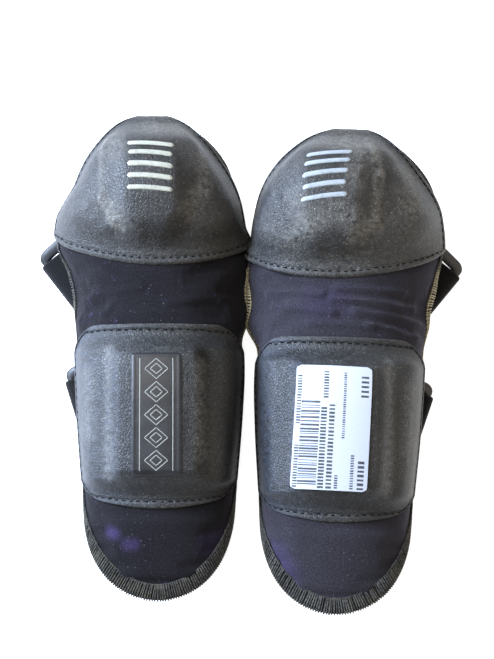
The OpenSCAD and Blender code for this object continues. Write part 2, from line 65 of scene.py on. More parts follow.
# Panel and cover thickness, the padding's height, what the covers stand off the panel, the blocks.
PANEL_T, COVER_T, FILL = 4.0, 1.0, 4.0
STAND = {"knee": 1.8, "shin": 0.4}
KNEE_BLOCK, SHIN_BLOCK = 5.0, 4.5
# Ends along the leg, and where the round of the foot and of the knee begins.
FOOT_END, THIGH_END, FOOT_TURN, KNEE_TURN = -117.6, 116.6, -77.0, 90.0
COVER_YAW = math.radians(3.5)
SHIN_LOW, SHIN_HIGH, COVER_TOP = -75.4, 13.0, 116.0
# Where the waist begins and ends to bend; the script places these points but bends nothing.
BEND_FROM, BEND_TO = (0, 18, 40), (0, 38, 40)
# Half width, crown height and the angle of the panel's edge along the leg.
WIDTHS = [(-118, 36), (-80, 35.3), (-30, 39.0), (0, 40.2), (29, 38.8), (56, 44.4),
          (80, 41.6), (100, 35), (119, 26)]
CROWNS = [(-118, 36), (-72, 44), (-20, 49), (31, 47), (60, 51), (84, 53), (104, 45.5), (119, 34)]
EDGES = [(FOOT_TURN, 90), (-64, 101), (-42, 107), (4, 108), (18, 99), (30, 90), (46, 90),
         (62, 93), (75, 102), (KNEE_TURN, 90)]


def smooth(t):
    t = np.clip(t, 0.0, 1.0)
    return t * t * (3 - 2 * t)


def curve(x, pts):
    """A smooth curve through pts, each (x, value)."""
    px, pv = np.array(pts, float).T
    slope = np.empty_like(pv)
    slope[1:-1] = (pv[2:] - pv[:-2]) / (px[2:] - px[:-2])
    slope[0] = (pv[1] - pv[0]) / (px[1] - px[0])
    slope[-1] = (pv[-1] - pv[-2]) / (px[-1] - px[-2])
    x = np.asarray(x, float)
    i = np.clip(np.searchsorted(px, x, "right") - 1, 0, len(px) - 2)
    h = px[i + 1] - px[i]
    t = np.clip((x - px[i]) / h, 0, 1)
    return (pv[i] * (1 + 2 * t) * (1 - t) ** 2 + pv[i + 1] * t * t * (3 - 2 * t)
            + h * slope[i] * t * (1 - t) ** 2 + h * slope[i + 1] * t * t * (t - 1))


def signed_power(v):
    return np.sign(v) * np.abs(v) ** FULLNESS


def arch_x(phi, y):
    return curve(y, WIDTHS) * signed_power(np.sin(np.radians(phi)))


def flare(phi, y, side):
    """How far the side wings turn outwards at the waist, more so on the inner side."""
    inner = INNER_FLARE[side] * smooth((phi - 54) / 34) * smooth((y - 6) / 16) * smooth((64 - y) / 14)
    low_edge = smooth((np.abs(phi) - 66) / 24)
    return inner + OUTER_FLARE[side] * low_edge * smooth((y - 10) / 14) * smooth((50 - y) / 14)


def skin_point(phi, y, side):
    """The panel's outer face, phi degrees round from the crown and y along the leg."""
    phi, y = np.broadcast_arrays(np.asarray(phi, float), np.asarray(y, float))
    c = np.cos(np.radians(phi))
    share = smooth((y + 15) / 75)
    x = arch_x(phi, y) * (1 + GIRTH[side] * smooth((y - 25) / 60))
    lean = LEAN[side] * np.clip(c, 0, 1) ** 1.3 * smooth((THIGH_END + 8 - y) / 45)
    x = x + (SWAY + lean) * share
    x = x + np.sign(phi) * flare(phi, y, side)
    if side == "left":
        # The left cup is fuller low on its outer side and slopes away above that.
        outer = smooth((-phi - 25) / 50)
        x = x + outer * (1.8 * smooth((y - 76) / 8) + 2.6 * smooth((y - 92) / 22)
                         - 3.4 * smooth((20 - np.abs(y - 60)) / 14))
    z = SIDE_LEVEL + (curve(y, CROWNS) - SIDE_LEVEL) * signed_power(c)
    return np.stack([x, y, z], -1)


def skin_normal(phi, y, side):
    across = skin_point(phi + 2, y, side) - skin_point(phi - 2, y, side)
    along = skin_point(phi, y + 0.5, side) - skin_point(phi, y - 0.5, side)
    n = np.cross(across, along)
    return n / np.linalg.norm(n, axis=-1, keepdims=True)


def skin(phi, y, height, side):
    """A point at a height over the panel's outer face."""
    phi, y = np.asarray(phi, float), np.asarray(y, float)
    return skin_point(phi, y, side) + np.asarray(height, float)[..., None] * skin_normal(phi, y, side)


def arc_length(phi, y):
    return phi * np.pi / 180 * curve(y, WIDTHS)


def cloth_at(phi, y, layers=2):
    """Flat cloth coordinates in metres, for each layer of a sheet."""
    flat = np.stack([arc_length(phi, y), y, 0 * y], -1).reshape(-1, 3) / 1000
    return np.tile(flat, (layers, 1))


def phi_at(share):
    share = np.asarray(share, float)
    return np.sign(share) * np.degrees(np.arcsin(np.clip(np.abs(share), 0, 1) ** (1 / FULLNESS)))


def tongue_share(t, power=0.5):
    return (1 - np.clip(t, 0, 1) ** 2) ** power


def edge_phi(y):
    y = np.asarray(y, float)
    foot = phi_at(tongue_share((FOOT_TURN - y) / (FOOT_TURN - FOOT_END)))
    knee = phi_at(tongue_share((y - KNEE_TURN) / (THIGH_END - KNEE_TURN), 0.58))
    return np.where(y < FOOT_TURN, foot, np.where(y > KNEE_TURN, knee, curve(y, EDGES)))


def place(side, p):
    """Guard frame in millimetres to the row frame in metres."""
    p = np.asarray(p, float)
    c, s = math.cos(SPLAY[side]), math.sin(SPLAY[side])
    x, y = p[..., 0] * c - p[..., 1] * s, p[..., 0] * s + p[..., 1] * c
    x, y = (x - GUARD_X, y) if side == "left" else (GUARD_X - x, y - RIGHT_BACK)
    return np.stack([x + PAIR_SHIFT[0], y + PAIR_SHIFT[1], p[..., 2]], -1) / 1000


# ---------------------------------------------------------------- noise

def hashed(ix, iy, seed):
    h = (ix.astype(np.int64) * 374761393 + iy.astype(np.int64) * 668265263 + seed * 974634777) & 0xFFFFFFFF
    h = ((h ^ (h >> 13)) * 1274126177) & 0xFFFFFFFF
    return ((h ^ (h >> 16)) & 0xFFFF) / 65535.0 * 2 - 1


def noise(x, y, scale, seed):
    """Smooth value noise between -1 and 1, with features about scale across."""
    x, y = np.asarray(x) / scale, np.asarray(y) / scale
    ix, iy = np.floor(x), np.floor(y)
    fx, fy = smooth(x - ix), smooth(y - iy)
    a, b = hashed(ix, iy, seed), hashed(ix + 1, iy, seed)
    c, d = hashed(ix, iy + 1, seed), hashed(ix + 1, iy + 1, seed)
    return (a * (1 - fx) + b * fx) * (1 - fy) + (c * (1 - fx) + d * fx) * fy


def rough(x, y, scale, seed, octaves=3):
    return sum(noise(x, y, scale / 2 ** k, seed + k) / 2 ** k for k in range(octaves)) / 1.6


def segment_mask(x, y, ax, ay, bx, by, half):
    """1 on the line from a to b, falling to 0 at half a width from it."""
    dx, dy = bx - ax, by - ay
    t = np.clip(((x - ax) * dx + (y - ay) * dy) / (dx * dx + dy * dy), 0, 1)
    d = np.hypot(x - ax - t * dx, y - ay - t * dy)
    return smooth(1 - d / half)


# ---------------------------------------------------------------- meshes

def piece(name, side, points, faces, material, slot, rides=None, stands_for=(),
          smooth_angle=60, attributes=None, face_materials=None):
    """A mesh object from points in the guard frame, riding a body and standing for CAD nodes.
    Mirroring turns its faces round."""
    placed = place(side, points)
    if side == "right":
        faces = [tuple(reversed(f)) for f in faces]
    mesh = bpy.data.meshes.new(name)
    mesh.from_pydata(placed.tolist(), [], faces)
    mesh.update()
    for key, values in (attributes or {}).items():
        a = mesh.attributes.new(key, "FLOAT_VECTOR" if np.ndim(values) == 2 else "FLOAT", "POINT")
        a.data.foreach_set("vector" if np.ndim(values) == 2 else "value",
                           np.asarray(values, np.float32).ravel())
    mesh.polygons.foreach_set("use_smooth", [True] * len(mesh.polygons))
    mesh.set_sharp_from_angle(angle=math.radians(smooth_angle))
    for m in material if isinstance(material, (list, tuple)) else [material]:
        mesh.materials.append(m)
    if face_materials is not None:
        mesh.polygons.foreach_set("material_index", face_materials)
    ob = bpy.data.objects.new(name, mesh)
    bpy.context.scene.collection.objects.link(ob)
    if rides:
        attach(ob, f"{side}_{rides}")
    if stands_for:
        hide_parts(*stands_for)
    return ob


def bend_at_waist(ob, side):
    tuple(place(side, BEND_FROM))
    tuple(place(side, BEND_TO))
    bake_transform(ob)


def unit(v):
    return v / np.maximum(np.linalg.norm(v, axis=-1, keepdims=True), 1e-9)


def grid_faces(rows, cols, start=0, flip=False):
    i, j = np.meshgrid(np.arange(cols - 1), np.arange(rows - 1))
    a = (start + j * cols + i).ravel()
    q = np.stack([a, a + 1, a + cols + 1, a + cols], -1)
    return (q[:, ::-1] if flip else q).tolist()


def closed_sheet(top, bottom):
    """Points and faces of a sheet with two faces, each a grid of rows and columns."""
    rows, cols = top.shape[:2]
    n = rows * cols
    pts = np.concatenate([top.reshape(-1, 3), bottom.reshape(-1, 3)])
    faces = grid_faces(rows, cols) + grid_faces(rows, cols, n, True)
    rim = ([j * cols for j in range(rows)][::-1] + list(range(cols))[1:]
           + [j * cols + cols - 1 for j in range(rows)][1:]
           + [(rows - 1) * cols + i for i in range(cols)][::-1][1:-1])
    for k, a in enumerate(rim):
        b = rim[(k + 1) % len(rim)]
        faces.append([b, a, a + n, b + n])
    return pts, faces


def tube(path, across, out, half_w, half_h, sides=6, closed=False):
    """Points and faces of a tube along path, with an elliptical section in across and out."""
    n = len(path)
    a = np.arange(sides) * 2 * math.pi / sides
    half_w, half_h = np.broadcast_to(half_w, n), np.broadcast_to(half_h, n)
    pts = (path[:, None] + across[:, None] * (half_w[:, None] * np.cos(a))[..., None]
           + out[:, None] * (half_h[:, None] * np.sin(a))[..., None]).reshape(-1, 3)
    faces = []
    for i in range(n if closed else n - 1):
        j = (i + 1) % n
        for k in range(sides):
            m = (k + 1) % sides
            faces.append([i * sides + k, i * sides + m, j * sides + m, j * sides + k])
    if not closed:
        faces.append([k for k in range(sides)][::-1])
        faces.append([(n - 1) * sides + k for k in range(sides)])
    return pts, faces


def joined(parts):
    """Many (points, faces) as one."""
    pts, faces, base = [], [], 0
    for p, f in parts:
        pts.append(p)
        faces += [[v + base for v in q] for q in f]
        base += len(p)
    return np.concatenate(pts), faces


# ---------------------------------------------------------------- cloth

def settled(points, pinned, growth, pressure, cap, frames=20):
    """Lets a grid of points (rows, cols, 3) in mm settle as cloth and returns how each point moved.
    Cloth works on a copy ten times life size; pinned points stay where they are."""
    rows, cols = points.shape[:2]
    scale = 0.01
    mesh = bpy.data.meshes.new("cloth")
    mesh.from_pydata((points.reshape(-1, 3) * scale).tolist(), [], grid_faces(rows, cols))
    ob = bpy.data.objects.new("cloth", mesh)
    bpy.context.scene.collection.objects.link(ob)
    group = ob.vertex_groups.new(name="pin")
    for i in np.nonzero(pinned.ravel() > 0)[0]:
        group.add([int(i)], float(pinned.ravel()[i]), "REPLACE")
    modifier = ob.modifiers.new("cloth", "CLOTH")
    s = modifier.settings
    s.vertex_group_mass = "pin"
    s.quality = 8
    s.mass = 0.3
    s.tension_stiffness = s.compression_stiffness = 12
    s.shear_stiffness = 6
    s.bending_stiffness = 0.6
    s.shrink_min = -growth
    s.use_pressure = True
    s.uniform_pressure_force = pressure
    s.effector_weights.gravity = 0
    modifier.collision_settings.use_collision = False
    modifier.point_cache.frame_start, modifier.point_cache.frame_end = 1, frames
    scene = bpy.context.scene
    for f in range(1, frames + 1):
        scene.frame_set(f)
    dg = bpy.context.evaluated_depsgraph_get()
    done = ob.evaluated_get(dg).to_mesh()
    co = np.zeros(len(done.vertices) * 3)
    done.vertices.foreach_get("co", co)
    moved = co.reshape(rows, cols, 3) / scale - points
    bpy.data.objects.remove(ob)
    bpy.data.meshes.remove(mesh)
    scene.frame_set(1)
    moved = np.nan_to_num(moved)
    length = np.linalg.norm(moved, axis=-1, keepdims=True)
    return moved * np.minimum(1, cap / np.maximum(length, 1e-9))


def resampled(field, rows, cols):
    """A coarse grid of values, smoothly enlarged to rows by cols."""
    r = np.linspace(0, field.shape[0] - 1, rows)
    c = np.linspace(0, field.shape[1] - 1, cols)
    i = np.minimum(r.astype(int), field.shape[0] - 2)
    j = np.minimum(c.astype(int), field.shape[1] - 2)
    fr, fc = smooth(r - i)[:, None, None], smooth(c - j)[None, :, None]
    a, b = field[i][:, j], field[i][:, j + 1]
    d, e = field[i + 1][:, j], field[i + 1][:, j + 1]
    return (a * (1 - fc) + b * fc) * (1 - fr) + (d * (1 - fc) + e * fc) * fr


# ---------------------------------------------------------------- materials

class Nodes:
    """A small helper for building one node material."""

    def __init__(self, name):
        self.material = bpy.data.materials.new(name)
        self.material.use_nodes = True
        self.tree = self.material.node_tree
        self.shader = self.tree.nodes["Principled BSDF"]

    def add(self, kind, **values):
        node = self.tree.nodes.new(kind)
        for key, value in values.items():
            if key in node.inputs:
                self.put(node.inputs[key], value)
            else:
                setattr(node, key, value)
        return node

    def put(self, socket, value):
        if isinstance(value, bpy.types.NodeSocket):
            self.tree.links.new(value, socket)
        else:
            socket.default_value = value

    def set(self, key, value):
        self.put(self.shader.inputs[key], value)

    def look(self, colour, roughness, normal, specular=0.5):
        """Sets the shader and gives back the finished material."""
        self.set("Base Color", colour)
        self.set("Roughness", roughness)
        self.set("Specular IOR Level", specular)
        self.set("Normal", normal)
        return self.material

    def object_place(self):
        return self.add("ShaderNodeTexCoord").outputs["Object"]

    def facing_x(self):
        normal = self.add("ShaderNodeNewGeometry").outputs["Normal"]
        return self.add("ShaderNodeSeparateXYZ", Vector=normal).outputs["X"]

    def attribute(self, name, output="Fac"):
        return self.add("ShaderNodeAttribute", attribute_name=name).outputs[output]

    def noise(self, vector, scale, detail=3.0, roughness=0.6):
        return self.add("ShaderNodeTexNoise", Vector=vector, Scale=scale, Detail=detail,
                        Roughness=roughness).outputs["Fac"]

    def cells(self, vector, scale, output="Distance", feature="F1"):
        return self.add("ShaderNodeTexVoronoi", feature=feature, Vector=vector,
                        Scale=scale).outputs[output]

    def waves(self, vector, **values):
        return self.add("ShaderNodeTexWave", Vector=vector, **values).outputs["Fac"]

    def stretched(self, vector, x, y, z):
        n = self.add("ShaderNodeMapping", Vector=vector)
        n.inputs["Scale"].default_value = (x, y, z)
        return n.outputs["Vector"]

    def math(self, operation, a, b=0.0):
        n = self.add("ShaderNodeMath", operation=operation)
        self.put(n.inputs[0], a)
        self.put(n.inputs[1], b)
        return n.outputs[0]

    def span(self, value, low, high, to_low=0.0, to_high=1.0):
        n = self.add("ShaderNodeMapRange", clamp=True)
        for key, v in (("Value", value), ("From Min", low), ("From Max", high),
                       ("To Min", to_low), ("To Max", to_high)):
            self.put(n.inputs[key], v)
        return n.outputs["Result"]

    def mix(self, share, a, b):
        n = self.add("ShaderNodeMix", data_type="RGBA")
        self.put(n.inputs[0], share)
        for socket, colour in ((n.inputs[6], a), (n.inputs[7], b)):
            self.put(socket, colour if isinstance(colour, bpy.types.NodeSocket) else (*colour, 1))
        return n.outputs[2]

    def bump(self, height, distance, strength=1.0, normal=None):
        n = self.add("ShaderNodeBump", Height=height, Distance=distance, Strength=strength)
        if normal is not None:
            self.put(n.inputs["Normal"], normal)
        return n.outputs["Normal"]


def leatherette(name, dark, pale, worn, painted_cool_light, painted_warm_shade):
    """Grained sheet, scuffed pale, and painted with pale highlights along the rim and the knee block's
    ridges, where its vertex attribute is high; painted cool light on left-facing faces and painted warm shade
    on right-facing faces.
    """
    m = Nodes(name)
    at = m.attribute("cloth", "Vector")
    wear_and_highlight = m.attribute("wear_and_highlight")
    grain = m.cells(at, 760, feature="DISTANCE_TO_EDGE")
    fine = m.noise(at, 2300, 3)
    mottle = m.noise(at, 330, 5, 0.72)
    patches = m.noise(at, 38, 5, 0.65)
    specks = m.span(m.noise(at, 900, 2, 0.8), 0.60, 0.70)
    colour = m.mix(m.span(patches, 0.3, 0.7), dark, pale)
    # Painted light: faces turned to the left get a painted cool blue light and faces turned to the right a
    # painted warm brown shade, as the facing side of the sheet turns.
    facing = m.facing_x()
    colour = m.mix(m.span(facing, 0.05, -0.85, 0.0, 0.9), colour, painted_cool_light)
    colour = m.mix(m.span(facing, 0.05, 0.60, 0.0, 0.9), colour, painted_warm_shade)
    colour = m.mix(m.span(mottle, 0.36, 0.66), [c * 0.55 for c in dark], colour)
    colour = m.mix(m.span(grain, 0.0, 0.12, 0.55, 0.0), colour, [c * 0.4 for c in dark])
    scuff_and_highlight = m.math("MULTIPLY", wear_and_highlight, m.span(m.noise(at, 420, 6, 0.72), 0.36, 0.66))
    # Scuffs turn the sheet pale, and so do the painted highlights along the rim and the block's ridges.
    colour = m.mix(m.math("MULTIPLY", scuff_and_highlight, 0.8), colour, worn)
    colour = m.mix(m.math("MULTIPLY", specks, m.span(wear_and_highlight, 0.0, 0.5, 0.16, 0.45)), colour, (0.5, 0.48, 0.44))
    roughness = m.math("ADD", m.span(patches, 0.3, 0.7, 0.44, 0.56), m.math("MULTIPLY", scuff_and_highlight, 0.3))
    normal = m.bump(m.span(grain, 0.0, 0.18), 0.00020, 0.6)
    normal = m.bump(mottle, 0.00022, 0.5, normal)
    normal = m.bump(fine, 0.00006, 0.4, normal)
    return m.look(colour, roughness, m.bump(patches, 0.0006, 0.3, normal))


def neoprene(name, dark, pale, lint, sheen):
    """Fine knit over foam rubber, with lint, violet fading, stains and painted shade on the faces turned to
    the right.
    """
    m = Nodes(name)
    at = m.attribute("cloth", "Vector")
    stain = m.attribute("stain")
    knit = m.waves(m.stretched(at, 1, 0.35, 1), Scale=420, Distortion=2.5, Detail=2.0, bands_direction="X")
    fuzz = m.noise(at, 1100, 5, 0.8)
    clouds = m.noise(at, 55, 4, 0.6)
    colour = m.mix(m.span(fuzz, 0.36, 0.66), dark, pale)
    colour = m.mix(m.span(clouds, 0.35, 0.7, 0.0, 0.4), colour, [c * 0.62 for c in dark])
    specks = m.cells(at, 420)
    fleck = m.math("MULTIPLY", m.span(specks, 0.06, 0.15, 1.0, 0.0),
                   m.span(m.noise(at, 60, 2), 0.40, 0.6))
    colour = m.mix(m.math("MULTIPLY", fleck, 0.22), colour, lint)
    # Painted shade: faces turned to the right are darkened toward near black.
    facing = m.facing_x()
    colour = m.mix(m.span(facing, 0.0, 0.7, 0.0, 0.75), colour, (0.006, 0.0055, 0.006))
    violet = m.math("MULTIPLY", m.span(m.noise(at, 240, 3, 0.7), 0.60, 0.70),
                    m.span(m.noise(at, 30, 2), 0.46, 0.6))
    colour = m.mix(m.math("MULTIPLY", violet, 0.45), colour, (0.060, 0.044, 0.115))
    stain = m.math("MULTIPLY", stain, m.span(fuzz, 0.25, 0.6, 0.25, 0.75))
    colour = m.mix(stain, colour, (0.062, 0.042, 0.135))
    m.set("Sheen Weight", sheen)
    m.set("Sheen Roughness", 0.5)
    m.set("Sheen Tint", (0.66, 0.62, 0.80, 1))
    return m.look(colour, 0.92, m.bump(fuzz, 0.00028, 0.8, m.bump(knit, 0.00009, 0.45)), 0.2)


def threads(name, dark, pale, speed=900):
    m = Nodes(name)
    at = m.object_place()
    strands = m.noise(at, speed, 4, 0.7)
    wide = m.noise(at, 90, 3, 0.6)
    colour = m.mix(m.span(strands, 0.32, 0.68), dark, pale)
    colour = m.mix(m.span(wide, 0.4, 0.7, 0.0, 0.5), colour, dark)
    colour = m.mix(m.attribute("bleached"), colour, (0.50, 0.44, 0.28))
    return m.look(colour, 0.85, m.bump(strands, 0.0001, 0.6), 0.25)


def moulded(name, dark, pale, roughness, bump=0.00005):
    m = Nodes(name)
    at = m.object_place()
    texture = m.noise(at, 2200, 3, 0.6)
    haze = m.noise(at, 60, 4, 0.6)
    scratch = m.noise(m.stretched(at, 1, 9, 3), 260, 3, 0.8)
    colour = m.mix(m.span(haze, 0.3, 0.7), dark, pale)
    colour = m.mix(m.span(scratch, 0.66, 0.75, 0.0, 0.35), colour, [min(1, c * 3) for c in pale])
    return m.look(colour, m.span(haze, 0.3, 0.7, roughness, roughness + 0.14), m.bump(texture, bump, 0.5))


def rubber_print(name, base, dirt):
    m = Nodes(name)
    at = m.object_place()
    pits = m.noise(at, 1500, 4, 0.75)
    smear = m.noise(at, 160, 4, 0.6)
    colour = m.mix(m.span(pits, 0.52, 0.72, 0.0, 0.75), base, dirt)
    colour = m.mix(m.span(smear, 0.5, 0.8, 0.0, 0.45), colour, dirt)
    return m.look(colour, 0.55, m.bump(pits, 0.0001, 0.4))


def woven(name, dark, pale):
    m = Nodes(name)
    at = m.attribute("cloth", "Vector")
    ribs = m.waves(at, Scale=330, bands_direction="X")
    picks = m.waves(at, Scale=240, bands_direction="Y", Distortion=1.0)
    fuzz = m.noise(at, 1400, 4, 0.7)
    cloth = m.math("MULTIPLY", ribs, picks)
    colour = m.mix(m.span(cloth, 0.0, 0.8), dark, pale)
    colour = m.mix(m.span(fuzz, 0.55, 0.8, 0, 0.5), colour, [c * 1.8 for c in pale])
    m.set("Sheen Weight", 0.08)
    return m.look(colour, 0.9, m.bump(cloth, 0.0003, 0.7, m.bump(fuzz, 0.0001, 0.5)), 0.25)


def paper(name, base, grey):
    m = Nodes(name)
    at = m.object_place()
    fibre = m.noise(at, 700, 4, 0.7)
    wide = m.noise(at, 25, 3, 0.5)
    colour = m.mix(m.span(fibre, 0.3, 0.7), base, [c * 0.95 for c in base])
    colour = m.mix(m.span(wide, 0.45, 0.75, 0.0, 0.4), colour, grey)
    return m.look(colour, 0.42, m.bump(fibre, 0.00003, 0.3))


def foam_material(name, base):
    m = Nodes(name)
    at = m.object_place()
    pores = m.cells(at, 900)
    colour = m.mix(m.span(pores, 0.1, 0.6), [c * 0.5 for c in base], base)
    return m.look(colour, 0.95, m.bump(pores, 0.0004, 0.8))


LEATHER = {"knee": leatherette("leatherette_knee", (0.026, 0.025, 0.0235), (0.044, 0.042, 0.039),
                               (0.25, 0.235, 0.205), (0.040, 0.043, 0.052), (0.024, 0.021, 0.016)),
           "shin": leatherette("leatherette_shin", (0.026, 0.026, 0.0255), (0.042, 0.042, 0.041),
                               (0.25, 0.25, 0.24), (0.052, 0.063, 0.090), (0.011, 0.0095, 0.007))}
LINT = (0.45, 0.43, 0.46)
NEOPRENE = {
    "left": neoprene("neoprene_left", (0.004, 0.0036, 0.0046), (0.021, 0.0185, 0.023), LINT, 0.05),
    "right": neoprene("neoprene_right", (0.012, 0.011, 0.014), (0.052, 0.047, 0.059), LINT, 0.22)}
SERGE = threads("overlock_thread", (0.008, 0.008, 0.0075), (0.13, 0.126, 0.112))
SERGE_BED = moulded("overlock_bed", (0.010, 0.010, 0.011), (0.022, 0.021, 0.023), 0.85)
STITCH = threads("stitch_thread", (0.002, 0.002, 0.0025), (0.008, 0.008, 0.009), 2600)
PLASTIC = moulded("loop_plastic", (0.020, 0.020, 0.021), (0.036, 0.036, 0.038), 0.34)
SHELL = moulded("stiff_shell", (0.03, 0.03, 0.032), (0.06, 0.06, 0.064), 0.45)
BADGE = moulded("badge_rubber", (0.014, 0.014, 0.015), (0.028, 0.028, 0.030), 0.34, 0.0001)
ETCH = rubber_print("badge_lines", (0.30, 0.30, 0.27), (0.05, 0.05, 0.05))
BARS = {"left": rubber_print("bars_cream", (0.44, 0.44, 0.36), (0.08, 0.08, 0.07)),
        "right": rubber_print("bars_grey", (0.38, 0.42, 0.45), (0.07, 0.07, 0.075))}
ELASTIC = woven("elastic", (0.004, 0.004, 0.0045), (0.013, 0.013, 0.014))
WEBBING = woven("webbing", (0.005, 0.005, 0.005), (0.018, 0.018, 0.019))
HOOK = threads("hook_tape", (0.008, 0.008, 0.009), (0.05, 0.05, 0.055), 1500)
PILE = threads("pile_tape", (0.012, 0.012, 0.013), (0.06, 0.06, 0.066), 1100)
PAPER = paper("label_paper", (0.60, 0.64, 0.74), (0.50, 0.53, 0.63))
INK = rubber_print("label_ink", (0.05, 0.055, 0.065), (0.22, 0.23, 0.26))
FOAM = foam_material("foam", (0.12, 0.12, 0.125))

# ---------------------------------------------------------------- covers

# The shin cover's curved lower edge and its corners; the knee cover's lower edge at its middle and
# its sides, and its half width.
SMILE, CORNER_R = 3.5, 12.0
KNEE_EDGE, KNEE_DROP, KNEE_HALF = 41.0, 15.6, 44.6
# Where the seam runs: as shares of the knee cover, and in from the shin cover's ends.
SEAM_U, SEAM_V, SEAM_IN, NO_SEAM = 0.94, 0.044, 3.5, 9
# About how long the covers are for one unit of u and v, and where the knee cover's grid stops.
KNEE_U, KNEE_V, SHIN_U, KNEE_END = 62, 72, 58, 0.994
RIM_SHOWS = {"left": 1, "right": -1}
# How far the knee's block and its bars sit in from the crown line.
BLOCK_OFF, BARS_OFF = {"left": 0.0, "right": 2.5}, {"left": 0.0, "right": 5.0}
BLOCK_HIGH = {"knee": KNEE_BLOCK, "shin": SHIN_BLOCK}


def knee_edge_line(u):
    return KNEE_EDGE + KNEE_DROP * np.abs(u) ** 1.7 - 44 * u * math.tan(COVER_YAW)


def knee_at(u, v, side):
    """u runs across from -1 to 1 and v up the leg from 0 to 1."""
    side_y = float(knee_edge_line(np.array(1.0)))
    y = side_y + (COVER_TOP - side_y) * v
    half = KNEE_HALF * tongue_share((y - 58) / (COVER_TOP - 58), 0.56)
    phi = np.minimum(84, phi_at(half / curve(y, WIDTHS)))
    low = knee_edge_line(u)
    # On the left guard's inner side and the right guard's outer side the bound edge shows.
    inset = 1 - 0.085 * smooth((y - 78) / 18) * smooth(u * RIM_SHOWS[side] / 0.7)
    return u * phi * inset, low + (COVER_TOP - low) * v


def knee_raise(phi, y, side):
    """The raised block on the knee: a wide U with soft edges."""
    x = np.abs(arch_x(phi, y) - BLOCK_OFF[side])
    half = 16.5 + 6 * smooth((y - 52) / 18)
    return KNEE_BLOCK * smooth((half - x) / 13) * smooth((y - 47) / 18) * smooth((COVER_TOP - y) / 30)


def side_rise(u):
    return smooth((0.9 - np.abs(u)) / 0.4)


def knee_rise(u, v):
    """Share of the padding's height under the knee cover."""
    return side_rise(u) * smooth((v - 0.07) / 0.2) * smooth((0.925 - v) / 0.2)


def shin_rise(u, v):
    return side_rise(u) * smooth((v - SHIN_LOW - 5) / 9) * smooth((SHIN_HIGH - 5 - v) / 9)


def corner_cut(gap, radius):
    """How far a round corner comes in at a gap from the end."""
    g = np.clip(gap, 0, radius)
    return radius - np.sqrt(radius ** 2 - (radius - g) ** 2)


def shin_at(u, v):
    """u runs across from -1 to 1, and v is a length along the leg."""
    cut = corner_cut(np.minimum(v - SHIN_LOW, SHIN_HIGH - v), CORNER_R)
    phi = phi_at(1 - cut / curve(v, WIDTHS)) * 0.94
    return u * phi, v + SMILE * u * u * smooth((-30 - v) / 40)


def shin_raise(phi, y):
    """The raised block on the shin: a long bar with soft edges."""
    x = np.abs(arch_x(phi, y))
    return SHIN_BLOCK * smooth((23 - x) / 8) * smooth((y + 64.5) / 8) * smooth((3 - y) / 8)


def cover_at(kind, u, v, side):
    """The place (phi, y) of a cover's (u, v), the padding's share and the block's height there."""
    if kind == "knee":
        phi, y = knee_at(u, v, side)
        return phi, y, knee_rise(u, v), knee_raise(phi, y, side)
    phi, y = shin_at(u, v)
    return phi, y, shin_rise(u, v), shin_raise(phi, y)


def edge_spaced(n, border):
    """Shares from -1 to 1, closer together in the borders."""
    t = np.linspace(-1, 1, n)
    return np.sign(t) * (np.abs(t) * (1 + border) - border * t * t)


def cover_grid(kind, rows, cols):
    """A cover's (u, v) grid, and each place's distance from the seam and from the rim in mm."""
    u = edge_spaced(cols, 0.30)
    outside = np.abs(u)[None] > SEAM_U + 0.005
    if kind == "knee":
        v = (edge_spaced(rows, 0.25) + 1) / 2 * KNEE_END
        uu, vv = np.meshgrid(u, v)
        seam = np.minimum(np.abs(np.abs(uu) - SEAM_U) * KNEE_U, np.abs(vv - SEAM_V) * KNEE_V)
        seam = np.where(outside | (vv < SEAM_V - 0.008) | (vv > 0.955), NO_SEAM, seam)
        rim = np.minimum.reduce([(1 - np.abs(uu)) * KNEE_U, vv * KNEE_V, (KNEE_END - vv) * 60])
    else:
        v = SHIN_LOW + (SHIN_HIGH - SHIN_LOW) * (edge_spaced(rows, 0.25) + 1) / 2
        uu, vv = np.meshgrid(u, v)
        gap = np.minimum(vv - SHIN_LOW, SHIN_HIGH - vv)
        seam = np.minimum(np.abs(np.abs(uu) - SEAM_U) * SHIN_U, np.abs(gap - SEAM_IN))
        seam = np.where(outside | (gap < SEAM_IN - 0.6), NO_SEAM, seam)
        rim = np.minimum((1 - np.abs(uu)) * SHIN_U, gap)
    return uu, vv, seam, rim


# Where the leatherette is scuffed, and where painted highlights run along the knee block's edge ridges (the
# long thin marks beside the block): the two ends of each mark and its width.
SHIN_SCUFFS = [(-21, 0, -21, -60, 4), (-30, -10, -30, -40, 6), (18, -8, 18, -50, 5)]
SCUFFS_AND_RIDGE_HIGHLIGHTS = {
    ("knee", "left"): [(-17, 68, -13, 60, 7), (-19, 100, -14, 92, 9), (17, 66, 20, 74, 7),
                       (-21.5, 100, -21.5, 72, 3), (-21.5, 72, -16, 60, 4), (0, 106, 14, 104, 10),
                       (22, 90, 24, 76, 5)],
    ("knee", "right"): [(-8.5, 109, -16.5, 88, 3), (-16.5, 88, -16.5, 67, 4), (-16.5, 67, -8, 60, 6),
                        (-6, 70, 4, 72, 9), (-10, 100, -6, 84, 10), (-28, 92, -30, 76, 8),
                        (14, 70, 16, 78, 8), (8, 66, 18, 60, 8), (0, 104, 10, 106, 10)],
    ("shin", "left"): SHIN_SCUFFS, ("shin", "right"): SHIN_SCUFFS}


def cover_wear_and_highlights(kind, side, x, y):
    # Scuffs, the painted highlights along the block's ridges and a light dust, as one share.
    amount = sum(segment_mask(x, y, *mark) for mark in SCUFFS_AND_RIDGE_HIGHLIGHTS[kind, side]) * 0.55
    dust = 0.30 if kind == "knee" and side == "right" else 0.14
    return np.clip(amount + dust * smooth(0.3 + rough(x, y, 22, 5)), 0, 1)


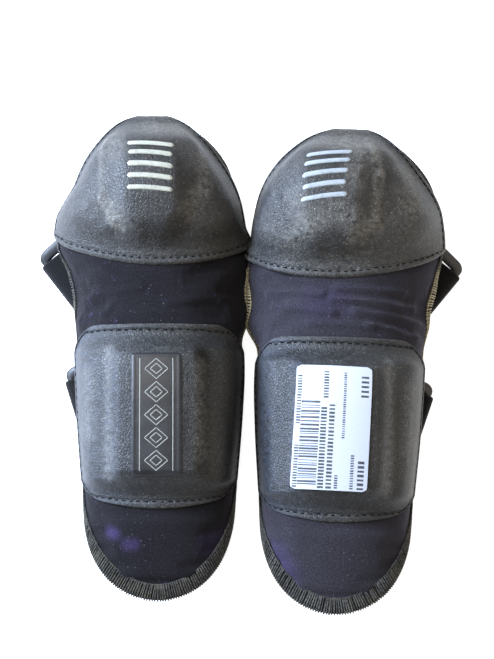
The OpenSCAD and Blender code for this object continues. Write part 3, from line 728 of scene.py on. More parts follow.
# Soft folds that run from the knee block's corners to the seam, the rounded ridge along the
# block's edge and the right cup's scratch, each as its two ends and its height.
DRAG_LINES = {"left": [(-17, 60, -30, 52, .5), (17, 60, 28, 54, .45), (-23, 74, -33, 66, .35),
                       (4, 52, 12, 47, .3)],
              "right": [(17, 60, 30, 52, .5), (-17, 60, -29, 55, .4), (22, 76, 33, 68, .35)]}
RIDGES = {"left": [(-21, 102, -21.5, 72, .7), (-21.5, 72, -16, 60, .6), (-16, 60, -5, 55, .35),
                   (21, 98, 21, 74, .3)],
          "right": [(-8.5, 109, -16.5, 88, .7), (-16.5, 88, -16.5, 67, .7), (-16.5, 67, -8, 60, .5),
                    (23, 96, 22, 72, .4)]}
SCRATCH = {"left": [], "right": [(5.3, 54.6, -9.3, 45.6, -0.9)]}
DRAG_WIDTH, RIDGE_WIDTH, SCRATCH_WIDTH = 4.5, 3.0, 1.5


def drawn_lines(x, y, lines, half):
    return sum((line[4] * segment_mask(x, y, *line[:4], half) for line in lines), 0 * x)


def cover(kind, side):
    rows, cols = (120, 150) if kind == "knee" else (130, 140)
    uu, vv, seam, rim = cover_grid(kind, rows, cols)
    phi, y, rise, raised = cover_at(kind, uu, vv, side)
    under = STAND[kind] + FILL * rise + raised
    # The sheet lies fuller between its seams than the plain pad, with soft creases round the block.
    x = arch_x(phi, y)
    seed = (11 if kind == "knee" else 23) + (7 if side == "right" else 0)
    ripple = 0.22 * rough(x, y, 15, seed) * rise
    if kind == "knee":
        ripple = ripple + drawn_lines(x, y, DRAG_LINES[side], DRAG_WIDTH) * rise
        ripple = ripple + drawn_lines(x, y, RIDGES[side], RIDGE_WIDTH) * rise
        ripple = ripple + drawn_lines(x, y, SCRATCH[side], SCRATCH_WIDTH)
    # A sunken seam, a welt inside the rim, and a rim that thins out.
    thick = COVER_T + ripple - 0.5 * smooth(1 - seam / 1.4)
    welt = smooth((4.2 - rim) / 2.0) * smooth(rim / 1.1)
    thick = thick + 0.38 * welt - 0.75 * (1 - smooth(rim / 1.0))
    moved = settled_cover(kind, rows // 5, cols // 5, side)
    top = skin(phi, y, under + thick, side) + resampled(moved, rows, cols) * rise[..., None]
    pts, faces = closed_sheet(top, skin(phi, y, under, side))
    # The very edge is painted pale: a painted highlight on its rounded rim.
    edge = 0.9 * smooth((1.5 - rim) / 1.1) * (0.7 + 0.3 * rough(x, y, 9, 3))
    wear_and_highlight = np.maximum(cover_wear_and_highlights(kind, side, x, y), edge).ravel()
    piece(f"{side}_{kind}_cover_soft", side, pts, faces, LEATHER[kind], "leatherette", kind,
          [f"{side}_{kind}_cover"], attributes={"cloth": cloth_at(phi, y), "wear_and_highlight": np.tile(wear_and_highlight, 2)})


def settled_cover(kind, rows, cols, side):
    """How the sheet settles between the seams and round the block, whose top stays flat."""
    uu, vv, _, _ = cover_grid(kind, rows, cols)
    phi, y, rise, raised = cover_at(kind, uu, vv, side)
    on_block = raised / BLOCK_HIGH[kind]
    pinned = ((rise < 0.5) | (on_block > 0.75)).astype(float)
    sheet = skin(phi, y, STAND[kind] + FILL * rise + raised + COVER_T, side)
    moved = settled(sheet, pinned, 0.008, 0.8, 0.5) * smooth((0.85 - on_block) / 0.6)[..., None]
    normal = skin_normal(phi, y, side)
    inward = np.minimum(np.sum(moved * normal, -1, keepdims=True), 0)
    return moved - inward * normal * 0.9


def picked(points, where):
    """Rows of points at fractional indices."""
    index = np.arange(len(points))
    return np.stack([np.interp(where, index, points[:, k]) for k in range(points.shape[1])], -1)


def along(points, pitch):
    """Places at equal distances along a polyline, as fractional indices, and how many steps."""
    step = np.linalg.norm(np.diff(points, axis=0), axis=1)
    length = np.concatenate([[0], np.cumsum(step)])
    n = max(2, int(round(length[-1] / pitch)))
    return np.interp(np.linspace(0, length[-1], n + 1), length, np.arange(len(points))), n


def seam_places(kind, side):
    """The seam's line as (phi, y, height), closed."""
    ends = (SEAM_V, 0.95) if kind == "knee" else (SHIN_LOW + SEAM_IN, SHIN_HIGH - SEAM_IN)
    t, u = np.linspace(*ends, 240), np.linspace(-0.92, 0.92, 200)
    across = np.concatenate([u, np.full_like(t, SEAM_U), u[::-1], np.full_like(t, -SEAM_U)])
    along_leg = np.concatenate([np.full_like(u, t[0]), t, np.full_like(u, t[-1]), t[::-1]])
    phi, y, _, raised = cover_at(kind, across, along_leg, side)
    return phi, y, STAND[kind] + COVER_T + raised


STITCH_PITCH, STITCH_W, STITCH_H = 3.7, 0.29, 0.28
STITCH_ARCH = np.array([-.67, -.22, 0, .06, 0, -.22, -.67])
STITCH_SWELL = np.array([.7, 1, 1.05, 1, 1.05, 1, .7])


def stitches(kind, side):
    """Single stitches in a row, each a little out of line."""
    rng = np.random.default_rng(31 if side == "left" else 47)
    parts = []
    phi, y, h = seam_places(kind, side)
    line = skin(phi, y, h, side)
    where, n = along(line, STITCH_PITCH)
    index = np.arange(len(line))
    for k in range(n):
        a, b = where[k], where[k + 1]
        t = np.linspace(a + (b - a) * rng.uniform(0.08, 0.2), b - (b - a) * rng.uniform(0.2, 0.32), 7)
        p = np.interp(t, index, phi) + rng.normal(0, 0.14)
        q = np.interp(t, index, y) + rng.normal(0, 0.14)
        path = skin(p, q, np.interp(t, index, h) + STITCH_ARCH, side)
        out = skin_normal(p, q, side)
        across = unit(np.cross(out, np.gradient(path, axis=0)))
        parts.append(tube(path, across, out, STITCH_W * STITCH_SWELL, STITCH_H, 6))
    pts, faces = joined(parts)
    piece(f"{side}_{kind}_stitches", side, pts, faces, STITCH, "seam_thread", kind,
          [f"{side}_{kind}_seam"], smooth_angle=80)


# ---------------------------------------------------------------- padding inside

# The padding's ends along the leg, its share of the width, its height over the panel, the share of
# the fill it takes, and the gap on either side of the stiff shell.
PAD_ENDS = {"knee": (0.245, 0.79), "shin": (-63.8, 0.9)}
PAD_HALF, PAD_LOW, PAD_SHARE, SHELL_GAP, SHELL_T = 0.6, 0.9, 0.35, 0.25, 0.4
SHELL_NODE = {"knee": "knee_cap", "shin": "shin_plate"}


def from_rim(n):
    """How many places each one is from the nearer end."""
    return np.minimum(np.arange(n), n - 1 - np.arange(n))


def padding(kind, side):
    """The foam block, and the thin stiff shell between it and the cover."""
    rows, cols = 44, 50
    uu, vv = np.meshgrid(np.linspace(-PAD_HALF, PAD_HALF, cols), np.linspace(*PAD_ENDS[kind], rows))
    phi, y, rise, raised = cover_at(kind, uu, vv, side)
    inward = np.minimum(from_rim(rows)[:, None], from_rim(cols)[None])
    round_off = np.sqrt(1 - (1 - np.clip(inward / 3, 0, 1)) ** 2)
    foam_top = FILL * PAD_SHARE * rise + raised
    high = PAD_LOW + (foam_top - 0.1) * (0.35 + 0.65 * round_off)
    pts, faces = closed_sheet(skin(phi, y, high, side), skin(phi, y, np.full_like(y, PAD_LOW), side))
    piece(f"{side}_{kind}_padding", side, pts, faces, FOAM, "foam", kind, [f"{side}_{kind}_foam"])
    low = PAD_LOW + foam_top + SHELL_GAP
    high = STAND["shin"] + FILL * rise + raised - SHELL_GAP
    pts, faces = closed_sheet(skin(phi, y, np.maximum(high, low + SHELL_T), side), skin(phi, y, low, side))
    piece(f"{side}_{kind}_stiff_shell", side, pts, faces, SHELL, "stiff_shell", kind,
          [f"{side}_{SHELL_NODE[kind]}"])


# ---------------------------------------------------------------- the neoprene panel

# Creases across the waist: the two ends, the height and the half width of each.
CREASES = {"left": [(-34, 26, -6, 30, .55, 3.2), (6, 22, 34, 27, .45, 3.0), (-30, 36, -12, 33, .35, 2.6),
                    (14, 34, 34, 38, .4, 2.8), (-10, 18, 16, 17, .3, 2.4), (-38, 16, -22, 20, .5, 2.8)],
           "right": [(-36, 22, -8, 25, .7, 3.0), (-34, 29, 2, 31, .75, 2.8), (-30, 36, 0, 36, .6, 2.4),
                     (2, 24, 32, 28, .6, 3.0), (6, 33, 34, 35, .6, 2.6), (-16, 18, 14, 19, .4, 2.2),
                     (-36, 15, -14, 19, .5, 2.4)]}
CREASE_DEPTH = {"left": 1.3, "right": 2.6}
# Violet stains: the two ends, the width and the strength of each.
STAINS = {"left": [(-22, -86, -20, -87, 5, 1.0), (-14, -92, -11, -92, 5, 0.8), (24, -92, 34, -88, 9, 0.35)],
          "right": [(30, -92, 24, -100, 12, 0.7), (0, 30, 10, 28, 14, 0.3)]}


def panel_grid(rows_y, cols):
    u = np.linspace(-1, 1, cols)
    uu, yy = np.meshgrid(u, rows_y)
    return uu, yy, uu * edge_phi(yy)


def panel_rows(step):
    """Rows along the leg, closer together round the foot and the knee."""
    foot = FOOT_TURN - (FOOT_TURN - FOOT_END) * np.sin(np.radians(np.linspace(86, 0, int(60 / step))))
    knee = KNEE_TURN + (THIGH_END - KNEE_TURN) * np.sin(np.radians(np.linspace(0, 86, int(50 / step))))
    middle = np.linspace(FOOT_TURN, KNEE_TURN, int(170 / step))[1:-1]
    return np.concatenate([foot, middle, knee])


def wrinkles(side, phi, y):
    """Soft creases across the waist, where the panel bends."""
    x = arch_x(phi, y)
    h = 0.0 * x
    for ax, ay, bx, by, amount, half in CREASES[side]:
        h = h + CREASE_DEPTH[side] * amount * segment_mask(x, y, ax, ay, bx, by, half)
    waist = smooth((y - 8) / 8) * smooth((46 - y) / 8)
    h = h + 0.25 * rough(x * 0.5, y, 9, 77 if side == "left" else 91) * waist
    # The fabric of the tongue lies a little unevenly.
    return h * smooth((y - 9) / 6) * smooth((47 - y) / 6) + 0.12 * rough(x, y, 18, 3) * smooth((-74 - y) / 8)


def panel_swell(rows_y, cols, side):
    """How far the free parts of the panel lift as the sheet settles."""
    coarse_y = np.linspace(rows_y[0], rows_y[-1], 60)
    u, y, phi = panel_grid(coarse_y, 33)
    waist = (y > 12) & (y < 46) & (np.abs(u) < 0.97)
    tongue = (y < -80) & (y > -110) & (np.abs(u) < 0.85)
    moved = settled(skin(phi, y, np.zeros_like(y), side), (~(waist | tongue)).astype(float), 0.03, 0.8, 1.6)
    swell = np.clip(np.sum(moved * skin_normal(phi, y, side), -1), -0.3, 1.6)[..., None]
    r = np.interp(rows_y, coarse_y, np.arange(len(coarse_y)))
    i = np.minimum(r.astype(int), len(coarse_y) - 2)
    across = resampled(swell, len(coarse_y), cols)
    f = smooth(r - i)[:, None, None]
    return (across[i] * (1 - f) + across[i + 1] * f)[..., 0]


def panel(side):
    rows_y, cols = panel_rows(1.3), 120
    uu, yy, phi = panel_grid(rows_y, cols)
    lift = panel_swell(rows_y, cols, side)
    crease = wrinkles(side, phi, yy)
    rim = np.minimum((1 - np.abs(uu)) * arc_length(np.abs(edge_phi(yy)), yy),
                     np.minimum(yy - FOOT_END, THIGH_END - yy))
    # The swell stops before the overlocked rim, which is a little rounded.
    lift = lift * smooth((rim - 7.5) / 4)
    soft = 0.55 * (1 - smooth(rim / 1.6))
    top = skin(phi, yy, crease + lift - soft, side)
    pts, faces = closed_sheet(top, skin(phi, yy, -PANEL_T + 0.05 + 0.15 * crease + soft, side))
    x = arch_x(phi, yy)
    stain = sum(mark[5] * segment_mask(x, yy, *mark[:5]) for mark in STAINS[side])
    stain = np.clip(stain, 0, 1).ravel() * 0.8
    ob = piece(f"{side}_neoprene", side, pts, faces, NEOPRENE[side], "neoprene",
               stands_for=[f"{side}_{n}_panel" for n in ("knee", "flex", "shin")],
               attributes={"cloth": cloth_at(phi, yy), "stain": np.tile(stain, 2)})
    bend_at_waist(ob, side)


# ---------------------------------------------------------------- overlocked edge

def rim_line():
    """The panel's rim as (phi, y) once round: up the right side, over the thigh end and back."""
    y = panel_rows(0.8)
    phi = edge_phi(y)
    right = np.stack([phi, y], -1)
    left = np.stack([-phi, y], -1)[::-1]
    return np.concatenate([right, [[0, THIGH_END]], left, [[0, FOOT_END]]])


def moved_in(line, d):
    """Each rim place moved in from the rim by d (a row of distances gives a row of places)."""
    before, after = np.roll(line, 1, 0), np.roll(line, -1, 0)
    arc = curve(line[:, 1], WIDTHS) * np.pi / 180
    run = np.stack([(after[:, 0] - before[:, 0]) * arc, after[:, 1] - before[:, 1]], -1)
    n = np.stack([-run[:, 1], run[:, 0]], -1)
    n /= np.linalg.norm(n, axis=1, keepdims=True)
    d = np.asarray(d, float)
    return (line[:, 0][:, None] + d[None] * (n[:, 0] / arc)[:, None],
            line[:, 1][:, None] + d[None] * n[:, 1][:, None])


# The band's section round the panel's edge, and the path of each thread over it: how far in from the
# rim, and how high over the panel's outer face.
BAND_IN = np.array([6.3, 5.2, 3.6, 1.8, 0.3, -0.55, -0.85, -0.85, -0.85, -0.55, 0.3, 1.8, 3.6, 5.2, 6.3,
                    6.3, 3.0, 0.2, -0.05, 0.2, 3.0, 6.3])
BAND_HIGH = np.array([0.42, 0.62, 0.68, 0.66, 0.55, 0.2, -0.6, -2.0, -3.4, -4.2, -4.6, -4.7, -4.7, -4.65,
                      -4.5, -4.1, -4.1, -3.9, -2.0, -0.1, 0.1, 0.1])
THREAD_IN = np.array([6.7, 6.2, 4.2, 2.0, 0.1, -1.05, -1.35, -1.35, -1.05, 0.2, 2.4, 4.6, 6.2])
THREAD_HIGH = np.array([0.35, 0.95, 1.10, 1.12, 1.0, 0.25, -1.2, -2.9, -4.35, -5.1, -5.2, -5.15, -4.9])
# How much of its own jitter each thread has along its path: none where it turns round the edge.
THREAD_LOOSE = np.array([1, .8, .5, .3, .2, .1, 0, .1, .2, .3, .5, .8, 1])
THREAD_PITCH, THREAD_SLANT, THREAD_W, THREAD_H = 1.25, 0.55, 0.37, 0.34
CHAIN_IN, CHAIN_HIGH = 6.6, 0.78


def band(places, side):
    """The band under the threads, once round the rim."""
    phi, y = moved_in(places, BAND_IN)
    ring = skin(phi, y, np.broadcast_to(BAND_HIGH, phi.shape), side)
    n, m = ring.shape[:2]
    faces = []
    for i in range(n):
        j = (i + 1) % n
        for k in range(m):
            q = (k + 1) % m
            faces.append([i * m + k, j * m + k, j * m + q, i * m + q])
    return ring.reshape(-1, 3), faces


def edge_threads(places, side, rng):
    """One thread at each place, over the edge and slightly aslant."""
    n = len(places)
    jitter = rng.normal(0, 0.22, (n, 1)) * THREAD_LOOSE
    phi, y = moved_in(places, THREAD_IN)
    paths = skin(phi, y, THREAD_HIGH + jitter * 0.35, side)
    to_next = unit(np.roll(paths, -1, 0) - paths)
    slant = np.linspace(THREAD_SLANT, -THREAD_SLANT, len(THREAD_IN))
    paths = paths + to_next * (slant[None, :, None] + jitter[..., None])
    for path, sideways in zip(paths, to_next):
        run = unit(np.gradient(path, axis=0))
        across = unit(sideways - run * np.sum(sideways * run, 1, keepdims=True))
        width = THREAD_W * (1 + rng.normal(0, 0.12))
        yield tube(path, across, np.cross(run, across), width, THREAD_H, 5)


def needle_chain(places, side):
    """The chain of needle thread along the band's inner edge."""
    phi, y = moved_in(places, np.array([CHAIN_IN]))
    chain = skin(phi[:, 0], y[:, 0], np.full(len(places), CHAIN_HIGH), side)
    outs = skin_normal(*(v[:, 0] for v in moved_in(places, THREAD_IN[:1])), side)
    t = np.linspace(0.08, 0.92, 5)[:, None]
    for a, b, out in zip(chain, np.roll(chain, -1, 0), outs):
        path = a + (b - a) * t + out * (0.22 * np.sin(np.pi * t))
        across = np.cross(out, unit(b - a))
        yield tube(path, np.repeat(across[None], 5, 0), np.repeat(out[None], 5, 0), 0.30, 0.26, 5)


def overlock(side):
    rng = np.random.default_rng(5 if side == "left" else 9)
    line = rim_line()
    rim = skin(line[:, 0], line[:, 1], np.zeros(len(line)), side)
    where, _ = along(np.concatenate([rim, rim[:1]]), THREAD_PITCH)
    looped = np.concatenate([line, line[:1]])
    places = picked(looped, where[:-1])
    bed = band(places, side)
    pts, faces = joined([bed, *edge_threads(places, side, rng), *needle_chain(places, side)])
    face_materials = [0] * len(bed[1]) + [1] * (len(faces) - len(bed[1]))
    # The sun has bleached the threads beside the waist.
    worn_side = pts[:, 0] if side == "left" else np.abs(pts[:, 0])
    bleached = 0.75 * smooth((28 - np.abs(pts[:, 1] - 28)) / 12) * smooth((worn_side - 20) / 10)
    bleached = bleached + 0.12 * smooth(rough(pts[:, 1], pts[:, 0], 7, 19))
    ob = piece(f"{side}_overlock", side, pts, faces, [SERGE_BED, SERGE], "overlock_thread",
               stands_for=[f"{side}_knee_binding", f"{side}_shin_binding"], smooth_angle=70,
               attributes={"bleached": bleached}, face_materials=face_materials)
    bend_at_waist(ob, side)


# ---------------------------------------------------------------- bars, badge and label

BAR_ROWS = np.array([75.4, 80.0, 84.4, 89.0, 93.2])
BARS_UP, BAR_HALF, BAR_R = {"left": 0.3, "right": 2.0}, {"left": 9.8, "right": 9.2}, 0.98
BARS_TILT = {"left": math.tan(COVER_YAW), "right": math.tan(math.radians(8.5))}
BADGE_Y, BADGE_W, PATCH_LENGTH = -31.5, 20.8, 56.5
DIAMONDS, DIAMOND_PITCH, RAIL_X, RAIL_END = 5, 10.4, 7.0, 25.6
LABEL_W, LABEL_TURN, LABEL_X, LABEL_LIFT = 31, math.radians(1.4), 3.6, 0.62
PAPER_T, INK_LOW, INK_HIGH = 0.10, 0.09, 0.135
# The label's rows of dashes: place across, start, stop, height of a dash and pitch.
DASHES = [(14.0, -27, -8, 1.7, 1.25), (14.0, 2, 24, 1.7, 1.25), (3.9, -27, 10, 2.4, 1.5),
          (0.6, -27, 11, 2.3, 1.7), (3.4, 14, 26, 2.0, 1.25), (-2.4, -27, -21, 1.4, 1.1),
          (-4.6, -4, 26, 1.2, 1.0), (-9.0, -27, -12, 1.4, 1.15), (-12.6, -27, -13, 2.6, 2.0),
          (-12.8, 15, 25, 3.0, 2.1)]


def square_grid(rows, cols):
    return np.meshgrid(np.linspace(-1, 1, cols), np.linspace(-1, 1, rows))


def bars(side):
    """Five light bars with round ends, each a low dome."""
    rng = np.random.default_rng(2 if side == "left" else 3)
    parts = []
    for y0 in BAR_ROWS + BARS_UP[side]:
        ss, tt = square_grid(9, 29)
        half, r = BAR_HALF[side] + rng.normal(0, 0.15), BAR_R
        x = ss * half
        end = np.clip((np.abs(x) - (half - r)) / r, 0, 1)
        width = r * np.sqrt(1 - end ** 2 * 0.94)
        row = y0 + tt * width - x * BARS_TILT[side] + 0.5 * (1 - (x / half) ** 2)
        x = x + BARS_OFF[side]
        phi = phi_at(x / curve(row, WIDTHS))
        base = STAND["knee"] + FILL + COVER_T + knee_raise(phi, row, side)
        dome = np.sqrt(np.clip(1 - np.maximum(np.abs(tt), end) ** 2.4, 0, 1))
        worn = 0.10 * rough(x, row, 1.6, 41)
        top = skin(phi, row, base + 0.12 + 0.45 * dome + worn * dome, side)
        bottom = skin(phi, row, base - 0.10, side)
        parts.append(closed_sheet(top, bottom))
    piece(f"{side}_bars", side, *joined(parts), BARS[side], "bar_rubber", "knee", [f"{side}_knee_bars"])


def block_top(x, y):
    """The angle round the leg and the shin cover's height at (x, y)."""
    phi = phi_at(x / curve(y, WIDTHS))
    return phi, STAND["shin"] + FILL + COVER_T + shin_raise(phi, y)


def rounded_patch(width, length, corner, rows, cols):
    """A grid over a rounded rectangle, as x and y from its middle."""
    ss, tt = square_grid(rows, cols)
    y = tt * length / 2
    gap = length / 2 - np.abs(y)
    return ss * (width / 2 - corner_cut(gap, corner)), y


def badge(side):
    """A smooth pressed panel with a frame, a little sunk inside it."""
    x, y = rounded_patch(BADGE_W, PATCH_LENGTH, 1.5, 116, 60)
    row = BADGE_Y + y
    phi, base = block_top(x, row)
    rim = np.minimum(BADGE_W / 2 - np.abs(x), PATCH_LENGTH / 2 - np.abs(y))
    frame_line = smooth(1 - np.abs(rim - 0.9) / 0.6)
    face = 0.30 + 0.14 * smooth(rim / 0.7) - 0.12 * smooth((rim - 1.4) / 0.5) + 0.10 * frame_line
    face = face + 0.05 * rough(x, row, 5, 15)
    pts, faces = closed_sheet(skin(phi, row, base + face, side), skin(phi, row, base + 0.05, side))
    piece(f"{side}_badge", side, pts, faces, BADGE, "badge_rubber", "shin", [f"{side}_shin_badge"])


def badge_lines(side):
    """A plain pattern of raised outlines: a row of nested diamonds between two rails."""
    lines = []
    for k in range(DIAMONDS):
        y0 = (k - (DIAMONDS - 1) / 2) * DIAMOND_PITCH
        for w, h in ((5.0, 4.6), (2.6, 2.4)):
            lines.append([(0, y0 - h), (w, y0), (0, y0 + h), (-w, y0), (0, y0 - h)])
    lines += [[(x, -RAIL_END), (x, RAIL_END)] for x in (-RAIL_X, RAIL_X)]
    parts = []
    for corners in lines:
        corners = np.array(corners, float)
        x, y = picked(corners, along(corners, 0.6)[0]).T
        y = BADGE_Y + y
        phi, base = block_top(x, y)
        path = skin(phi, y, base + 0.33, side)
        out = skin_normal(phi, y, side)
        across = unit(np.cross(out, np.gradient(path, axis=0)))
        parts.append(tube(path, across, out, 0.26, 0.20, 6))
    piece(f"{side}_badge_lines", side, *joined(parts), ETCH, "badge_rubber", "shin", smooth_angle=70)


def on_label(x, y):
    """The place and height of a point of the label, which lies a little turned on the block."""
    gx = LABEL_X + x * math.cos(LABEL_TURN) - y * math.sin(LABEL_TURN)
    gy = BADGE_Y + x * math.sin(LABEL_TURN) + y * math.cos(LABEL_TURN)
    phi, base = block_top(gx, gy)
    # The paper bridges the edge of the block instead of following it down.
    flat = STAND["shin"] + FILL + COVER_T + SHIN_BLOCK
    sag = np.clip((np.abs(gx) - 17.5) / 5, 0, 1) ** 2 * 1.2
    return phi, gy, np.maximum(base, flat - sag) + LABEL_LIFT + 0.10 * rough(x, y, 14, 8)


def label_sheet(x, y, low, high):
    phi, row, base = on_label(x, y)
    return closed_sheet(skin(phi, row, base + high, "right"), skin(phi, row, base + low, "right"))


def label_marks():
    """Plain bars and dashes that stand for the print, each as its middle, width and height."""
    rng = np.random.default_rng(12)
    marks = []
    y = -26.0
    while y < 12:
        w = rng.choice([0.35, 0.55, 0.9])
        marks.append((9.3, y + w / 2, 7.4, w))
        y += w + rng.choice([0.45, 0.7, 1.0])
    for x, start, stop, high, pitch in DASHES:
        y = start
        while y < stop:
            marks.append((x, y, high, pitch * rng.choice([0.45, 0.62])))
            y += pitch
    return marks


def label():
    paper_sheet = label_sheet(*rounded_patch(LABEL_W, PATCH_LENGTH, 1.8, 60, 40), 0, PAPER_T)
    piece("price_label_paper", "right", *paper_sheet, PAPER, "label_paper", "shin", ["price_label"],
          smooth_angle=50)
    parts = []
    for x, y, w, h in label_marks():
        grid = np.meshgrid(x + np.linspace(-w / 2, w / 2, 5), y + np.linspace(-h / 2, h / 2, 2))
        parts.append(label_sheet(*grid, INK_LOW, INK_HIGH))
    piece("price_label_marks", "right", *joined(parts), INK, "label_paper", "shin", smooth_angle=30)


# ---------------------------------------------------------------- straps and loops

STRAP_W, STRAP_T, LOOP_R, DEPTH, LENGTH = 32.0, 1.6, 2.0, 19.0, 38.0
TAB_W, TAB_T = 25.0, 1.4
PITCH = math.radians(25)
TAIL, BIGHT_R = 38.0, 2.15
LOOP_Z = BIGHT_R + STRAP_T
# The hook and pile patches between the tail and the strap, and the height of the strap over them.
PATCH_T, PATCH_GAP, PATCH_FROM, PATCH_TO, PATCH_HALF = 0.8, 0.05, 12, 36, 15
FOLDED_Z = STRAP_T + PATCH_T * 2 + PATCH_GAP * 3 + STRAP_T / 2
STRAP_RISE = {"left": 0.0, "right": 3.0}
# Half the width over which a sewn end clears the wing, and where on the wing the end begins and stops.
SEWN_HALF, SEWN_LOW, SEWN_HIGH = 12.0, 1.5, 10.0
BODY_OF = {"upper": "knee", "lower": "shin"}


def strap_spec(side, which):
    """The middle of the loop's outer bar, the strap's heading, its sewn end and the tab's end."""
    rise = STRAP_RISE[side]
    if which == "upper":
        return (-48.4, 36.6 + rise), math.radians(38), (31, 64), (-35.4, 50 + rise, 28)
    return (-40.4, -25), math.radians(17.5), (34.4, -12.5), (-33, -21, 24)


def inner_wing(side, y, inset):
    """Where a strap lies on the inside of the inner wing, inset from its rim."""
    ys = y + SEWN_HALF * np.array([-1.0, 0.0, 1.0])
    phi = edge_phi(ys) - inset / (curve(ys, WIDTHS) * np.pi / 180)
    x, _, z = skin(phi, ys, np.full(3, -(PANEL_T + 1.0 + STRAP_T / 2)), side).T
    return np.array([x.min(), y, z.mean()])


def strap_local(spec, x, across, z):
    """A point in the strap's frame: x along its heading from the loop's outer bar."""
    (mx, my), a = spec[0], spec[1]
    return np.stack([mx + x * math.cos(a) - across * math.sin(a), my + x * math.sin(a) + across * math.cos(a),
                     np.broadcast_to(z, np.shape(x))], -1)


def resample_path(points, step):
    return picked(points, along(points, step)[0])


def softened(path, times=3):
    for _ in range(times):
        inner = (path[:-2] + 2 * path[1:-1] + path[2:]) / 4
        path = np.concatenate([path[:1], inner, path[-1:]])
    return path


def ribbon(path, across, width, thickness, ribs=18, rib=0.10):
    """A woven strap along path. across is its width direction at each station."""
    run = np.gradient(path, axis=0)
    across = unit(across - run * (np.sum(across * run, 1) / np.sum(run * run, 1))[:, None])
    out = unit(np.cross(run, across))
    s = np.linspace(-1, 1, ribs * 3 + 1)
    cord = rib * np.abs(np.cos(np.arange(len(s)) * np.pi / 3))
    edge = np.sqrt(np.clip(1 - np.clip((np.abs(s) - 0.955) / 0.045, 0, 1) ** 2, 0, 1))
    half = (thickness / 2 - rib) * (0.35 + 0.65 * edge) + cord * edge
    flat = path[:, None] + across[:, None] * (s * width / 2)[None, :, None]
    top = flat + out[:, None] * half[None, :, None]
    bottom = flat - out[:, None] * half[None, :, None]
    pts, faces = closed_sheet(top, bottom)
    length = np.concatenate([[0], np.cumsum(np.linalg.norm(np.diff(path, axis=0), axis=1))])
    cloth = np.stack([np.broadcast_to(s * width / 2, (len(path), len(s))),
                      np.broadcast_to(length[:, None], (len(path), len(s))),
                      np.zeros((len(path), len(s)))], -1).reshape(-1, 3) / 1000
    return pts, faces, np.tile(cloth, (2, 1))


def strap_path(side, which):
    """Round the outer bar from below, back over the tail, down to the floor, across and up to the
    sewn end on the inner wing."""
    spec = strap_spec(side, which)
    a = spec[1]
    z = STRAP_T / 2
    head = np.array([math.cos(a), math.sin(a)])
    start = np.array(spec[0]) + (TAIL + 6) * head
    low, high = (inner_wing(side, spec[2][1], d) for d in (SEWN_LOW, SEWN_HIGH))
    sewn = low[:2]
    finish = sewn - [11, 0]
    reach = np.linalg.norm(finish - start) / 3
    t = np.linspace(0, 1, 40)[:, None]
    plan = ((1 - t) ** 3 * start + 3 * t * (1 - t) ** 2 * (start + reach * head)
            + 3 * t * t * (1 - t) * (finish - [reach, 0]) + t ** 3 * finish)
    turn = np.radians(np.linspace(-88, -268, 22))
    mid = BIGHT_R + z
    bight = [(mid * math.cos(b), LOOP_Z + mid * math.sin(b)) for b in turn]
    over = [(4.4, LOOP_Z + mid - 0.05), (9, LOOP_Z + mid - 0.35), (14, FOLDED_Z + 0.1), (20, FOLDED_Z),
            (TAIL - 2, FOLDED_Z), (TAIL + 2.5, FOLDED_Z - 1.0), (TAIL + 5, z + 0.5)]
    side_view = np.array(bight + over)
    near = strap_local(spec, side_view[:, 0], np.zeros(len(side_view)), side_view[:, 1])
    flat = np.column_stack([plan, np.full(len(plan), z)])
    climb = low[2] - z
    rise = np.array([(sewn[0] + dx, sewn[1], z + share * climb) for dx, share in (
        (-8.5, 0.03), (-6, 0.12), (-3.8, 0.3), (-2.0, 0.55), (-0.8, 0.8), (0, 1))] + [high])
    return softened(resample_path(np.concatenate([near, flat, rise]), 1.1), 2)


def strap(side, which):
    """The elastic from its turn round the loop to its sewn end."""
    path = strap_path(side, which)
    spec = strap_spec(side, which)
    heading = np.gradient(path[:, :2], axis=0)
    near_dir = np.array([-math.sin(spec[1]), math.cos(spec[1])])
    progress = np.clip((np.arange(len(path)) / len(path) - 0.3) / 0.7, 0, 1)[:, None]
    on_floor = unit(np.stack([-heading[:, 1], heading[:, 0]], -1))
    use_floor = (path[:, 2:] < 3) & (progress > 0)
    across = np.where(use_floor, on_floor, np.where(progress > 0.5, [[0.0, 1.0]], near_dir))
    across = softened(np.column_stack([across, np.zeros(len(path))]), 6)
    pts, faces, cloth = ribbon(path, across, STRAP_W, STRAP_T)
    ob = piece(f"{side}_{which}_elastic", side, pts, faces, ELASTIC, "elastic",
               stands_for=[f"{side}_{which}_strap", f"{side}_{which}_bight"], attributes={"cloth": cloth})
    still, turning = (tuple(place(side, strap_local(spec, x, 0.0, 4.0))) for x in (15.0, 3.0))
    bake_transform(ob)
    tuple(still)
    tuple(turning)


def tail(side, which):
    """The strap's free end."""
    spec = strap_spec(side, which)
    xs = np.linspace(0.4, TAIL + 0.2, 34)
    path = strap_local(spec, xs, np.zeros(len(xs)), STRAP_T / 2)
    across = np.broadcast_to([-math.sin(spec[1]), math.cos(spec[1]), 0], path.shape)
    pts, faces, cloth = ribbon(path, across, STRAP_W, STRAP_T - 0.05)
    piece(f"{side}_{which}_tail_strap", side, pts, faces, ELASTIC, "elastic", f"{which}_tail_end",
          [f"{side}_{which}_tail"], attributes={"cloth": cloth})


